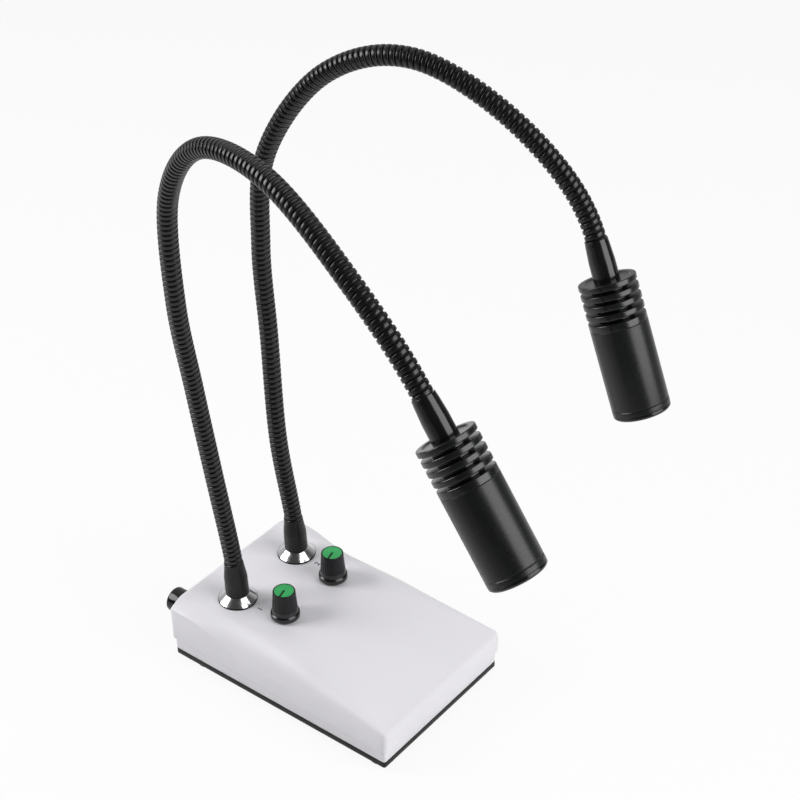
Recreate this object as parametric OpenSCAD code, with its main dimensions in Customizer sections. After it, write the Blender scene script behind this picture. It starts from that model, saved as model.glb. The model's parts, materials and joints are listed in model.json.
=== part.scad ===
// Dual gooseneck illuminator: a wedge-shaped base with two dimmer knobs and two flexible arms,
// each with a finned lamp head. Millimetres, +Z up, front towards -Y.
// The origin is the middle of the base, on the surface that the feet stand on.

/* [Base] */
// Width of the base plate
base_w = 100; // [92:1:130]
// Length of the base plate
base_l = 150; // [144:1:190]
// Corner radius of the base plate, seen from above
corner_r = 1.5; // [1:0.5:6]
// Thickness of the steel base plate
plate_t = 3.7; // [2:0.1:6]
// Height of the lower tray
tray_h = 8; // [7:0.5:10]
// Thickness of the tray's floor
tray_floor = 2; // [1.5:0.1:3]
// Thickness of the tray's wall
tray_wall = 2.5; // [2:0.1:3.5]
// Thickness of the housing's wall
shell_t = 2.5; // [1.8:0.1:3.2]
// How far the housing stands out over the tray
overhang = 1.5; // [0.5:0.1:2.5]
// Height of the control panel over the base plate
panel_h = 33; // [31:0.5:42]
// Height of the housing's side walls over the base plate, at the front corners
skirt_h = 13; // [12:0.5:14]
// Rise of the side walls' top edge on its way to the rear
skirt_rise = 7; // [4:0.5:10]
// Height of the front slope over the base plate, where it meets the front wall
front_h = 20; // [18:0.5:22]
// Length of the level panel, from the rear edge to the front slope
panel_l = 80; // [74:1:92]
// Length of the full-height side walls at the rear corners
shoulder_at = 22; // [18:1:32]
// Length over which the side walls drop in front of them
shoulder_l = 36; // [24:1:40]
// Greatest reach of the side facets
side_run = 18.5; // [14:0.5:23]
// Distance of the side facets' widest place from the front wall
facet_ahead = 46; // [30:1:50]
// Reach of the side facets at the front corners
nose_run = 1.5; // [1.5:0.5:4]
// Reach of the side facets at the rear corners
rear_run = 9; // [5:0.5:10]
// Drop of the side facets at the rear corners
rear_drop = 3; // [2:0.5:4]
// Fullness of the side facets at the rear, from flat, 1, to a quarter ellipse, 2
rear_full = 1.2; // [1.1:0.1:2]
// Fullness of the side facets at the front, from flat, 1, to a quarter ellipse, 2, and beyond
nose_full = 2.4; // [1.1:0.1:2.6]
// Rounding of the housing's front and rear top edges
edge_r = 3; // [2:0.5:4]

/* [Feet and case screws] */
// Diameter of a rubber foot
foot_d = 14; // [11:0.5:15]
// Height of a rubber foot
foot_h = 2; // [2:0.1:6]
// Hole in a rubber foot, round the screw head
foot_hole_d = 7; // [6.6:0.1:8]
// Distance of the feet from the plate's long sides
foot_side = 8; // [8:0.5:12]
// Distance of the rear feet from the plate's rear edge
foot_rear = 18; // [14:0.5:24]
// Distance of the front feet from the plate's front edge
foot_front = 8; // [8:0.5:14]
// Diameter of the case screws
case_screw_d = 3; // [2.5:0.1:3.5]
// Length of the case screws below the head
case_screw_l = 15; // [13:0.5:16]
// Diameter of a case screw's head
case_head_d = 6; // [5:0.1:6.4]
// Height of a case screw's head
case_head_h = 1.6; // [1.2:0.1:1.8]
// Diameter of the screw posts
post_d = 8; // [7:0.5:9]
// Height of the housing's screw posts over the seam
post_h = 6; // [5:0.5:7]

/* [Arms] */
// Distance between the two arms at the panel
arm_gap = 50; // [46:1:56]
// Distance of the arms from the plate's rear edge
arm_setback = 27; // [25:0.5:29]
// Height of the higher arch over the panel
arm_rise = 326; // [290:1:360]
// Reach of the longer arm in front of its foot, up to the lamp head's sleeve
arm_reach = 185; // [160:1:210]
// Outer diameter of the flexible tube, over its ribs
tube_d = 10; // [9:0.1:10.6]
// Bore of the flexible tube
tube_bore = 5; // [4:0.1:5.6]
// Depth of the grooves between the ribs
rib_depth = 0.7; // [0.4:0.1:1]
// Distance from rib to rib
rib_pitch = 4.8; // [4.4:0.1:6]
// Gap between two links of an arm, where it bends
flex_gap = 1; // [1:0.05:1.2]
// Wall of the narrow neck at each end of a link
neck_t = 0.7; // [0.5:0.1:0.9]
// Tilt of the first and the second lamp head below level, in degrees
head_tilt = [53.5, 65.5]; // [0:0.5:90]
// Turn of the first and the second lamp head away from the middle, in degrees
head_turn = [2, -11]; // [-45:0.5:45]

/* [Arm feet] */
// Diameter of the chrome collar on the panel
collar_d = 21.8; // [18:0.1:24]
// Diameter of the collar's top
collar_top_d = 13.2; // [13.2:0.1:15]
// Height of the collar
collar_h = 4.8; // [4:0.1:8]
// Height of the collar's upright rim
collar_rim = 0.8; // [0.4:0.1:1.2]
// Diameter of the ferrule's threaded shank
shank_d = 9.4; // [8:0.1:10]
// Length of the shank below the nut
shank_end = 2; // [1:0.5:2.5]
// Width of the ferrule's nut across flats
shank_nut_w = 14; // [13:0.5:15]
// Thickness of the ferrule's nut
shank_nut_t = 4; // [3:0.5:4.5]
// Wall of the sleeves over the arms' ends
sleeve_t = 1.1; // [0.8:0.1:1.3]
// Wall of the sleeves at their thin mouth
sleeve_lip = 0.4; // [0.3:0.1:0.6]
// Length of the sleeve over the arm's foot
foot_sleeve_l = 21; // [18:0.5:25]
// Length of the sleeve's taper
sleeve_taper = 8; // [5:0.5:10]

/* [Knobs] */
// Distance between the two knobs
knob_gap = 41; // [38:1:50]
// Distance of the knobs in front of the arms
knob_ahead = 31; // [28:0.5:34]
// Diameter of the knob's skirt
knob_d = 16; // [15:0.1:18]
// Diameter of the knob's top
knob_top_d = 12.4; // [12:0.1:13.5]
// Height of the knob
knob_h = 17.5; // [16.5:0.1:20]
// Height of the knob's skirt
knob_skirt_h = 6.2; // [5:0.1:7]
// Number of fine flutes round the knob's grip
flutes = 30; // [20:1:36]
// Radius of a flute
flute_r = 0.35; // [0.2:0.05:0.45]
// Gap between the knob and the panel
knob_lift = 0.6; // [0.4:0.1:1.5]
// Diameter of the coloured cap in the knob's top
cap_d = 10.8; // [9.5:0.1:11]
// Thickness of the coloured cap
cap_t = 1.4; // [1:0.1:1.8]
// Width of the cap's pointer groove
pointer_w = 1; // [0.6:0.1:1.6]
// Direction of the pointer groove, in degrees from the +X axis
pointer_at = 195; // [0:5:355]

/* [Potentiometers] */
// Diameter of the potentiometer's can
pot_d = 16.4; // [14:0.1:17.5]
// Height of the potentiometer's can
pot_h = 8; // [7:0.1:9.5]
// Diameter of the threaded bushing
bushing_d = 7; // [6.8:0.1:7.4]
// Length of the bushing over the can
bushing_l = 6.4; // [5.8:0.1:6.8]
// Diameter of the shaft
shaft_d = 6; // [5:0.1:6]
// Width of the bushing's nut across flats
pot_nut_w = 10; // [9.4:0.1:10.2]
// Thickness of the bushing's nut
pot_nut_t = 2; // [1.5:0.1:2.4]

/* [Lamp heads] */
// Diameter of the lamp head
head_d = 27.3; // [25.5:0.1:30]
// Number of disc fins behind the flange
fin_count = 4; // [2:1:6]
// Thickness of a fin
fin_t = 2.8; // [2:0.1:3.5]
// Gap between two fins
fin_gap = 1.8; // [1.4:0.1:2.6]
// Diameter of the heat sink's core between the fins
core_d = 17; // [15.5:0.1:19]
// Thickness of the heat sink's flange
flange_t = 3.5; // [2.5:0.1:5]
// Chamfer of the fins' edges
fin_chamfer = 0.5; // [0.2:0.1:0.8]
// Length of the smooth barrel
barrel_l = 41.4; // [34:0.1:50]
// Wall of the barrel
barrel_t = 2.3; // [1.6:0.1:2.8]
// Length of the bezel ring
bezel_l = 2.2; // [1.6:0.1:3.5]
// Bevel of the bezel ring
bezel_bevel = 0.9; // [0.5:0.1:1.2]
// Wall of the bezel's spigot inside the barrel
spigot_t = 1.2; // [0.8:0.1:1.6]
// Length of the spigots inside the barrel's two ends
spigot_l = 4; // [3:0.1:6]
// Depth of the hose socket in the heat sink's rear
socket_l = 6; // [4:0.5:8]
// Length of the sleeve behind the lamp head
head_sleeve_l = 19; // [15:0.5:22]
// Depth of the recess round the sleeve in the rear fin
recess_h = 0.6; // [0.3:0.1:1]
// Wall of the reflector cone
reflector_t = 0.8; // [0.6:0.1:1.2]
// Thickness of the LED board
led_board_t = 1.6; // [1:0.1:2]
// Diameter of the LED's dome
led_d = 5; // [3:0.1:6]
// Thickness of the lens's rim
lens_t = 2; // [1.5:0.1:3]
// Height of the lens's dome
lens_dome = 2.6; // [1.5:0.1:3.2]

/* [Rear wall] */
// Height of the fuse holder and the power inlet over the base plate
rear_z = 20.8; // [19.5:0.1:21]
// Distance of the fuse holder from the plate's side
fuse_side = 13.5; // [13.5:0.5:16]
// Diameter of the fuse holder's flange and cap
fuse_cap_d = 14.4; // [13:0.1:15]
// Length of the fuse cap
fuse_cap_l = 8.7; // [7:0.1:12]
// Thickness of the fuse holder's flange
fuse_flange_t = 1.5; // [1:0.1:2.5]
// Diameter of the fuse holder's barrel
fuse_barrel_d = 10.6; // [10:0.1:11]
// Length of the fuse holder behind the wall
fuse_barrel_l = 27; // [26:0.5:29]
// Diameter of the fuse cap's stem
fuse_stem_d = 7.4; // [6.6:0.1:7.8]
// Length of the fuse cap's stem
fuse_stem_l = 7; // [5:0.5:8]
// Width of the fuse holder's nut across flats
fuse_nut_w = 14; // [13:0.5:14.5]
// Thickness of the fuse holder's nut
fuse_nut_t = 3; // [2:0.5:4]
// Diameter of the glass fuse
fuse_d = 5.2; // [4.8:0.1:5.6]
// Length of the glass fuse
fuse_l = 18; // [15:0.5:18]
// Distance of the power inlet from the plate's other side
inlet_side = 32; // [28:0.5:34]
// Width and height of the power inlet's flange
inlet_flange = [28, 13]; // [10:0.5:30]
// Thickness of the power inlet's flange
inlet_flange_t = 2; // [1.5:0.1:3]
// Width and height of the power inlet's body
inlet_body = [22, 10.4]; // [9:0.2:24]
// Depth of the power inlet's body behind the flange
inlet_body_l = 17; // [15:0.5:18]
// Height of the inlet's figure-of-eight recess
inlet_mouth = 7.8; // [7:0.1:8.4]
// Distance between the inlet's two pins
inlet_pin_gap = 6.8; // [6:0.1:8]
// Depth of the inlet's recess
inlet_deep = 12; // [11:0.5:13]
// Diameter of the inlet's pins
inlet_pin_d = 2.4; // [2:0.1:2.8]
// Length of the inlet's pins
inlet_pin_l = 6.5; // [5:0.5:6.5]

/* [Driver board] */
// Width of the board
board_w = 66; // [60:1:70]
// Length of the board
board_l = 60; // [56:1:64]
// Thickness of the board
board_t = 1.6; // [1:0.1:2]
// Distance of the board's middle in front of the knobs
board_ahead = 28; // [26:1:32]
// Height of the board over the tray's floor
board_lift = 5; // [4:0.5:6]
// Length, width and height of the board's coil
coil_size = [16, 14, 9]; // [6:0.5:18]
// Diameter and height of the board's capacitor
capacitor_size = [9, 10]; // [6:0.5:11]
// Length, width and height of the board's bridge
bridge_size = [12, 8, 5]; // [3:0.5:14]
// Length, width and height of the board's terminal block
terminal_size = [15, 7, 7]; // [4:0.5:18]
// Distance of the board's screws from its edges
board_screw_in = 4; // [3.5:0.5:5]
// Diameter of the board's screws
board_screw_d = 2.5; // [2:0.1:2.6]

/* [Fits] */
// Radial clearance between pieces that fit into each other
fit = 0.05; // [0.03:0.01:0.08]
// Radial clearance of screws and shanks in their through holes
hole_gap = 0.3; // [0.2:0.05:0.4]

/* [Hidden] */
$fn = 64;

// Levels, from the feet up
plate_z = foot_h;
tray_z = plate_z + plate_t;
seam_z = tray_z + tray_h;
skirt_z = tray_z + skirt_h;
front_z = tray_z + front_h;
panel_z = tray_z + panel_h;
under_panel_z = panel_z - shell_t;
board_z = tray_z + tray_floor + board_lift;

// Housing outline
half_w = base_w / 2 + overhang;
half_l = base_l / 2 + overhang;
shell_r = corner_r + overhang;
slope_y = base_l / 2 - panel_l;
wide_y = facet_ahead - half_l;

// Places on the base
arm_y = base_l / 2 - arm_setback;
knob_y = arm_y - knob_ahead;
board_y = knob_y - board_ahead;
foot_x = base_w / 2 - foot_side;
foot_ys = [base_l / 2 - foot_rear, foot_front - base_l / 2];
fuse_z = tray_z + rear_z;
fuse_x = base_w / 2 - fuse_side;
inlet_x = base_w / 2 - inlet_side;

// Arm routes: points from the arm's foot on the panel, x away from the middle of the base
SIDES = [-1, 1];
ROUTES = [
    [[6, 4.5, 86], [12.5, 7, 144.5], [22, 4.5, 200.5], [29.5, -5, 264],
     [40, -38.5, 303.5], [54.5, -91, 310.5], [68.5, -146.5, 287], [71, -185, 249]],
    [[-5.5, 4, 82.5], [-4.5, 7, 146.5], [-7.5, 6, 204], [-11.5, -5.5, 261],
     [-6, -40.5, 309.5], [1.5, -89, 326], [13, -142, 300], [19, -176.5, 255.5]]
];
// Direction in which both arms leave their feet, and how long they keep to it
root = [-0.054, 0.068, 1];
root_pull = 0.8;
route_rise = max([for (route = ROUTES) for (p = route) p.z]);
route_reach = -min([for (route = ROUTES) for (p = route) p.y]);
links = 8;
tube_sides = 8;
bore_steps = 4;

// Radii along the tube, and in the head
crest_r = tube_d / 2;
groove_r = crest_r - rib_depth;
bore_r = tube_bore / 2;
crimp_r = crest_r + 0.25;
head_r = head_d / 2;
barrel_r = head_r - barrel_t;
fin_step = fin_t + fin_gap;
sink_l = fin_count * fin_step + flange_t;
barrel_end = sink_l + barrel_l;
led_z = sink_l + spigot_l;
lens_z = barrel_end - spigot_l - lens_t;

base_nodes = [
    "upper_housing", "lower_tray", "base_plate", "rubber_feet", "case_screws", "ferrule_nuts",
    "pot_nuts", "driver_board", "board_screws", "fuse_holder", "fuse_nut", "fuse_cap", "fuse",
    "power_inlet"
];
paired_nodes = [
    "collar", "ferrule", "base_sleeve", "pot_body", "pot_shaft", "knob", "knob_cap", "head_sleeve",
    "heat_sink", "barrel", "bezel", "lens", "reflector", "led_board"
];

// Route of an arm: its foot, its knots, and the curve between two knots
function unit(v) = v / norm(v);
function foot(a) = [SIDES[a] * arm_gap / 2, arm_y, panel_z];
function knot(a, k) = k == 0
    ? foot(a) + [0, 0, collar_h + foot_sleeve_l + flex_gap / 2]
    : let (p = ROUTES[a][k - 1])
        foot(a) + [SIDES[a] * p.x, p.y * arm_reach / route_reach, p.z * arm_rise / route_rise];
function aim(a) = [
    SIDES[a] * cos(head_tilt[a]) * sin(head_turn[a]),
    -cos(head_tilt[a]) * cos(head_turn[a]),
    -sin(head_tilt[a])
];
function span(a, k) = norm(knot(a, k + 1) - knot(a, k));
function pull(a, k) = k == 0 ? unit(root) * root_pull * span(a, 0)
    : k == links ? aim(a) * span(a, links - 1)
    : (knot(a, k + 1) - knot(a, k - 1)) / 2;
function point_at(a, k, u) =
    (2 * u ^ 3 - 3 * u ^ 2 + 1) * knot(a, k) + (u ^ 3 - 2 * u ^ 2 + u) * pull(a, k)
    + (3 * u ^ 2 - 2 * u ^ 3) * knot(a, k + 1) + (u ^ 3 - u ^ 2) * pull(a, k + 1);
function heading_at(a, k, u) = unit(
    (6 * u ^ 2 - 6 * u) * knot(a, k) + (3 * u ^ 2 - 4 * u + 1) * pull(a, k)
    + (6 * u - 6 * u ^ 2) * knot(a, k + 1) + (3 * u ^ 2 - 2 * u) * pull(a, k + 1));

// Two directions square to a heading: across the arm, and out of its arch
function across(t) = unit([1, 0, 0] - t * t.x);
function lift(t) = cross(t, across(t));
function ring(centre, t, r) = [
    for (j = [0 : tube_sides - 1])
        centre + r * (cos(360 * j / tube_sides) * across(t) + sin(360 * j / tube_sides) * lift(t))
];
function ring_r(i, count, last) = i % 2 == 1 ? crest_r
    : i == 0 || (i == count && !last) ? bore_r + neck_t
    : groove_r;
function flat_list(rows) = [for (row = rows) for (item = row) item];

// Section of the housing at station y: half width, reach of the side facet, top, and top of the wall
function limit(t) = max(0, min(1, t));
function smooth(t) = t * t * (3 - 2 * t);
function round_off(d) = sqrt(1 - limit(1 - d / edge_r) ^ 2);
function inset_r(inset) = max(0.3, shell_r - inset);
function half_width(y, inset) = let (
    r = inset_r(inset),
    past = max(0, abs(y) - half_l + inset + r)
) half_w - inset - r + sqrt(max(0, r ^ 2 - past ^ 2));
function run_at(y) = y > wide_y
    ? rear_run + (side_run - rear_run) * ((half_l - y) / (half_l - wide_y)) ^ 1.2
    : side_run + (nose_run - side_run) * limit((wide_y - y) / facet_ahead) ^ 1.5;
function top_at(y) = panel_z - (panel_h - front_h) * max(0, slope_y - y) / (slope_y + half_l)
    - edge_r * (1 - round_off(half_l - abs(y)));
function wall_at(y) = let (
    t = smooth(limit((half_l - shoulder_at - y) / shoulder_l)),
    high = panel_z - rear_drop - edge_r * (1 - round_off(half_l - y)),
    low = skirt_z + skirt_rise * (y + half_l) / (2 * half_l)
) high + (low - high) * t;
function full_at(y) = rear_full + (nose_full - rear_full) * limit((half_l - y) / (2 * half_l));
curve_steps = 7;
function section(y, inset, low) = let (
    run = run_at(y),
    rise = top_at(y) - wall_at(y),
    out = [rise, run] / norm([rise, run]),
    a = max(0.5, run - inset * (1 - (1 - out.y) / out.x)),
    b = max(0.5, rise - inset * (1 - (1 - out.x) / out.y)),
    w = half_width(y, inset),
    top = top_at(y) - inset,
    power = 2 / full_at(y),
    side = [for (k = [0 : curve_steps]) let (t = 90 * k / curve_steps)
        [w - a * (1 - cos(t) ^ power), y, top - b * (1 - sin(t) ^ power)]]
) concat(
    [[w, y, low]],
    side,
    [for (k = [curve_steps : -1 : 0]) [-side[k].x, y, side[k].z]],
    [[-w, y, low]]
);

// Stations from front to rear, closer together round the corners
end_steps = 5;
slope_steps = 10;
panel_steps = 13;
function stations(inset) = let (r = inset_r(inset), straight = half_l - inset - r) concat(
    [for (i = [0 : end_steps]) -straight - r * cos(90 * i / end_steps)],
    [for (i = [1 : slope_steps]) -straight + (slope_y + straight) * i / slope_steps],
    [for (i = [1 : panel_steps]) slope_y + (straight - slope_y) * i / panel_steps],
    [for (i = [1 : end_steps]) straight + r * sin(90 * i / end_steps)]
);

// Solid through a row of sections, each with the same number of points
module loft(sections) {
    n = len(sections[0]);
    last = len(sections) - 1;
    sides = [
        for (i = [0 : last - 1]) for (j = [0 : n - 1]) let (
            a = i * n + j,
            b = i * n + (j + 1) % n,
            c = b + n,
            d = a + n
        ) each [[a, b, c], [a, c, d]]
    ];
    front = [for (j = [1 : n - 2]) [0, j + 1, j]];
    rear = [for (j = [1 : n - 2]) [last * n, last * n + j, last * n + j + 1]];
    polyhedron(flat_list(sections), concat(sides, front, rear));
}

// Tube through two rows of rings, one for its outside and one for its bore
module ring_tube(outer, inner) {
    n = tube_sides;
    start = len(outer) * n;
    skin = [
        for (i = [0 : len(outer) - 2]) for (j = [0 : n - 1]) let (a = i * n + j, b = i * n + (j + 1) % n)
            each [[a, a + n, b + n], [a, b + n, b]]
    ];
    wall = [
        for (i = [0 : len(inner) - 2]) for (j = [0 : n - 1])
            let (a = start + i * n + j, b = start + i * n + (j + 1) % n)
            each [[a, b, b + n], [a, b + n, a + n]]
    ];
    out_end = (len(outer) - 1) * n;
    in_end = start + (len(inner) - 1) * n;
    caps = [
        for (j = [0 : n - 1]) let (k = (j + 1) % n) each [
            [j, k, start + j], [k, start + k, start + j],
            [out_end + j, in_end + j, out_end + k], [out_end + k, in_end + j, in_end + k]
        ]
    ];
    polyhedron(concat(flat_list(outer), flat_list(inner)), concat(skin, wall, caps));
}

// Plan outline with round corners
module plan(w, l, r) {
    square([w - 2 * r, l], center = true);
    square([w, l - 2 * r], center = true);
    for (x = [-1, 1]) for (y = [-1, 1])
        translate([x * (w / 2 - r), y * (l / 2 - r)]) circle(r);
}

module at_feet() {
    for (x = [-1, 1]) for (y = foot_ys)
        translate([x * foot_x, y, 0]) children();
}

module at_board_screws() {
    for (x = [-1, 1]) for (y = [-1, 1])
        translate([x * (board_w / 2 - board_screw_in), board_y + y * (board_l / 2 - board_screw_in), 0])
            children();
}

module at_arm(a) {
    translate(foot(a)) children();
}

module at_knob(a) {
    translate([SIDES[a] * knob_gap / 2, knob_y, panel_z]) children();
}

// Rear wall frame: local +Z points out of the wall, local X runs along it
module at_rear(x) {
    translate([x, half_l, fuse_z]) rotate([-90, 0, 0]) children();
}

function head_seat(a) = knot(a, links) + aim(a) * head_sleeve_l;
module at_head(a) {
    translate(head_seat(a)) rotate([0, acos(aim(a).z), atan2(aim(a).y, aim(a).x)]) children();
}

module hex_nut(w, t, hole_r) {
    difference() {
        cylinder(h = t, d = w / cos(30), $fn = 6);
        translate([0, 0, -1]) cylinder(h = t + 2, r = hole_r);
    }
}

// White moulded housing: lofted shell with screw posts, open below
module upper_housing() {
    web = (half_w - shell_t / 2) - foot_x;
    web_h = min(post_h, skirt_h - tray_h);
    color("whitesmoke") difference() {
        union() {
            difference() {
                loft([for (y = stations(0)) section(y, 0, seam_z)]);
                loft([for (y = stations(shell_t)) section(y, shell_t, seam_z - 1)]);
            }
            for (x = [-1, 1]) for (y = foot_ys) translate([x * foot_x, y, seam_z]) {
                cylinder(h = post_h, d = post_d);
                translate([x * web / 2, 0, web_h / 2]) cube([web, post_d / 2, web_h], center = true);
            }
        }
        at_feet() translate([0, 0, seam_z - 1])
            cylinder(h = plate_z + case_screw_l - seam_z + 2, r = case_screw_d / 2 + fit);
        for (a = [0, 1]) {
            at_arm(a) translate([0, 0, -shell_t - 1]) cylinder(h = shell_t + 2, r = shank_d / 2 + hole_gap);
            at_knob(a) translate([0, 0, -shell_t - 1])
                cylinder(h = shell_t + 2, r = bushing_d / 2 + hole_gap);
        }
        at_rear(-fuse_x) translate([0, 0, -shell_t - 1])
            cylinder(h = shell_t + 2, r = fuse_barrel_d / 2 + hole_gap);
        at_rear(inlet_x) translate([0, 0, -shell_t / 2])
            cube([inlet_body.x + 2 * fit, inlet_body.y + 2 * fit, shell_t + 2], center = true);
    }
}

// White tray under the housing, with posts for the case screws and the board
module lower_tray() {
    color("gainsboro") difference() {
        union() {
            difference() {
                translate([0, 0, tray_z]) linear_extrude(tray_h) plan(base_w, base_l, corner_r);
                translate([0, 0, tray_z + tray_floor]) linear_extrude(tray_h)
                    plan(base_w - 2 * tray_wall, base_l - 2 * tray_wall, max(0.5, corner_r - tray_wall));
            }
            at_feet() translate([0, 0, tray_z]) cylinder(h = tray_h, d = post_d);
            at_board_screws() translate([0, 0, tray_z])
                cylinder(h = board_z - tray_z, d = 2.6 * board_screw_d);
        }
        at_feet() translate([0, 0, tray_z - 1]) cylinder(h = tray_h + 2, r = case_screw_d / 2 + hole_gap);
        at_board_screws() translate([0, 0, tray_z + tray_floor])
            cylinder(h = board_lift + 1, r = board_screw_d / 2 + fit);
    }
}

// Black steel plate that weighs the base down
module base_plate() {
    color("dimgray") translate([0, 0, plate_z]) linear_extrude(plate_t) difference() {
        plan(base_w, base_l, corner_r);
        at_feet() circle(r = case_screw_d / 2 + hole_gap);
    }
}

// Four rubber feet, each a ring round its screw head
module rubber_feet() {
    bevel = foot_h / 4;
    color("dimgray") at_feet() rotate_extrude() polygon([
        [foot_hole_d / 2, 0], [foot_d / 2 - bevel, 0], [foot_d / 2, bevel],
        [foot_d / 2, foot_h], [foot_hole_d / 2, foot_h]
    ]);
}

// Four screws from below through plate and tray into the housing's posts
module case_screws() {
    color("silver") at_feet() translate([0, 0, plate_z]) {
        translate([0, 0, -case_head_h]) cylinder(h = case_head_h, d = case_head_d);
        cylinder(h = case_screw_l, d = case_screw_d);
    }
}

// Chrome cone between the panel and the arm's foot
module collar(a) {
    color("silver") at_arm(a) rotate_extrude() polygon([
        [shank_d / 2 + fit, 0], [collar_d / 2, 0], [collar_d / 2, collar_rim],
        [collar_top_d / 2, collar_h], [shank_d / 2 + fit, collar_h]
    ]);
}

// Steel end of the arm: a shank through the collar and panel, and the crimped part in the sleeve
module ferrule(a) {
    shank_l = shell_t + shank_nut_t + shank_end;
    color("gray") at_arm(a) difference() {
        union() {
            translate([0, 0, -shank_l]) cylinder(h = shank_l + collar_h, d = shank_d);
            translate([0, 0, collar_h]) cylinder(h = foot_sleeve_l, r = crimp_r);
        }
        translate([0, 0, -shank_l - 1]) cylinder(h = shank_l + collar_h + foot_sleeve_l + 2, r = bore_r);
    }
}

// Two nuts that clamp the arms under the panel
module ferrule_nuts() {
    color("silver") for (a = [0, 1]) at_arm(a) translate([0, 0, -shell_t - shank_nut_t])
        hex_nut(shank_nut_w, shank_nut_t, shank_d / 2 + fit);
}

// Black shrink sleeve over the arm's foot
module base_sleeve(a) {
    inner = crimp_r + fit;
    color("dimgray") at_arm(a) translate([0, 0, collar_h]) rotate_extrude() polygon([
        [inner, 0], [inner + sleeve_t, 0], [inner + sleeve_t, foot_sleeve_l - sleeve_taper],
        [inner + sleeve_lip, foot_sleeve_l], [inner, foot_sleeve_l]
    ]);
}

// One link of a flexible arm: a ribbed tube along its stretch of the route, with narrow ends to bend.
// The last link runs on, without ribs, through the head's sleeve into the heat sink.
module hose(a, k) {
    last = k == links - 1;
    cut = flex_gap / 2 / span(a, k);
    from = cut;
    to = last ? 1 : 1 - cut;
    ribs = round(span(a, k) / rib_pitch);
    tail = head_seat(a) + aim(a) * socket_l;
    outer = [
        for (i = [0 : 2 * ribs]) let (u = from + (to - from) * i / (2 * ribs))
            ring(point_at(a, k, u), heading_at(a, k, u), ring_r(i, 2 * ribs, last))
    ];
    inner = [
        for (i = [0 : bore_steps]) let (u = from + (to - from) * i / bore_steps)
            ring(point_at(a, k, u), heading_at(a, k, u), bore_r)
    ];
    color("dimgray") ring_tube(
        last ? concat(outer, [ring(tail, aim(a), groove_r)]) : outer,
        last ? concat(inner, [ring(tail, aim(a), bore_r)]) : inner
    );
}

// Black shrink sleeve where the flexible tube enters the lamp head
module head_sleeve(a) {
    inner = groove_r + fit;
    lip = crest_r + sleeve_lip;
    full = crest_r + sleeve_t;
    color("dimgray") at_head(a) rotate_extrude() polygon([
        [inner, recess_h], [inner, -head_sleeve_l], [lip, -head_sleeve_l],
        [full, sleeve_taper - head_sleeve_l], [full, recess_h]
    ]);
}

// Turned heat sink: disc fins on a core, a flange, and a spigot that carries the LED board
module heat_sink(a) {
    socket_r = groove_r + fit;
    recess_r = core_d / 2 + fin_gap;
    spigot_r = barrel_r - fit;
    fins = [
        for (i = [0 : fin_count]) let (
            low = i * fin_step,
            high = low + (i < fin_count ? fin_t : flange_t)
        ) each [
            if (i > 0) [core_d / 2, low],
            [head_r - fin_chamfer, low], [head_r, low + fin_chamfer], [head_r, high - fin_chamfer],
            [head_r - (i < fin_count ? fin_chamfer : 0), high],
            if (i < fin_count) [core_d / 2, high]
        ]
    ];
    color("dimgray") at_head(a) rotate_extrude() polygon(concat(
        [[socket_r, socket_l], [socket_r, recess_h], [recess_r, recess_h], [recess_r + recess_h, 0]],
        fins,
        [[spigot_r, sink_l], [spigot_r, led_z], [bore_r, led_z], [bore_r, socket_l]]
    ));
}

// Smooth barrel of the lamp head, with a fine groove behind the bezel
module barrel(a) {
    groove_w = 0.6;
    groove_at = barrel_end - bezel_l;
    color("dimgray") at_head(a) rotate_extrude() polygon([
        [barrel_r, sink_l], [head_r, sink_l], [head_r, groove_at - groove_w],
        [head_r - groove_w / 2, groove_at - groove_w / 2], [head_r, groove_at],
        [head_r, barrel_end], [barrel_r, barrel_end]
    ]);
}

// Front ring of the lamp head, with a spigot that holds the lens in the barrel
module bezel(a) {
    spigot_r = barrel_r - fit;
    color("dimgray") at_head(a) rotate_extrude() polygon([
        [spigot_r - spigot_t, barrel_end - spigot_l], [spigot_r, barrel_end - spigot_l],
        [spigot_r, barrel_end], [head_r, barrel_end], [head_r, barrel_end + bezel_l - bezel_bevel],
        [head_r - bezel_bevel, barrel_end + bezel_l], [spigot_r - spigot_t, barrel_end + bezel_l]
    ]);
}

// Clear lens: a flat rim under the bezel's spigot and a dome inside the ring
module lens(a) {
    dome_r = barrel_r - fit - spigot_t - 2 * fit;
    ball_r = (dome_r ^ 2 + lens_dome ^ 2) / (2 * lens_dome);
    dome_steps = 8;
    color("lightcyan") at_head(a) translate([0, 0, lens_z]) rotate_extrude() polygon(concat(
        [[0, 0], [barrel_r - fit, 0], [barrel_r - fit, lens_t]],
        [for (i = [0 : dome_steps]) let (x = dome_r * (1 - i / dome_steps))
            [x, lens_t + sqrt(ball_r ^ 2 - x ^ 2) - (ball_r - lens_dome)]]
    ));
}

// Reflector cone on the LED board, with a rim under the lens
module reflector(a) {
    low = led_z + led_board_t;
    narrow = led_d / 2 + reflector_t;
    wide = barrel_r - 2 * reflector_t;
    color("silver") at_head(a) rotate_extrude() polygon([
        [narrow, low], [narrow + reflector_t, low], [wide + reflector_t, lens_z - reflector_t],
        [barrel_r - fit, lens_z - reflector_t], [barrel_r - fit, lens_z], [wide, lens_z]
    ]);
}

// Round LED board with its domed LED
module led_board(a) {
    color("gold") at_head(a) translate([0, 0, led_z]) {
        cylinder(h = led_board_t, r = barrel_r - fit);
        intersection() {
            translate([0, 0, led_board_t]) sphere(d = led_d);
            translate([0, 0, led_board_t / 2]) cylinder(h = led_d, d = led_d + 1);
        }
    }
}

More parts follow.
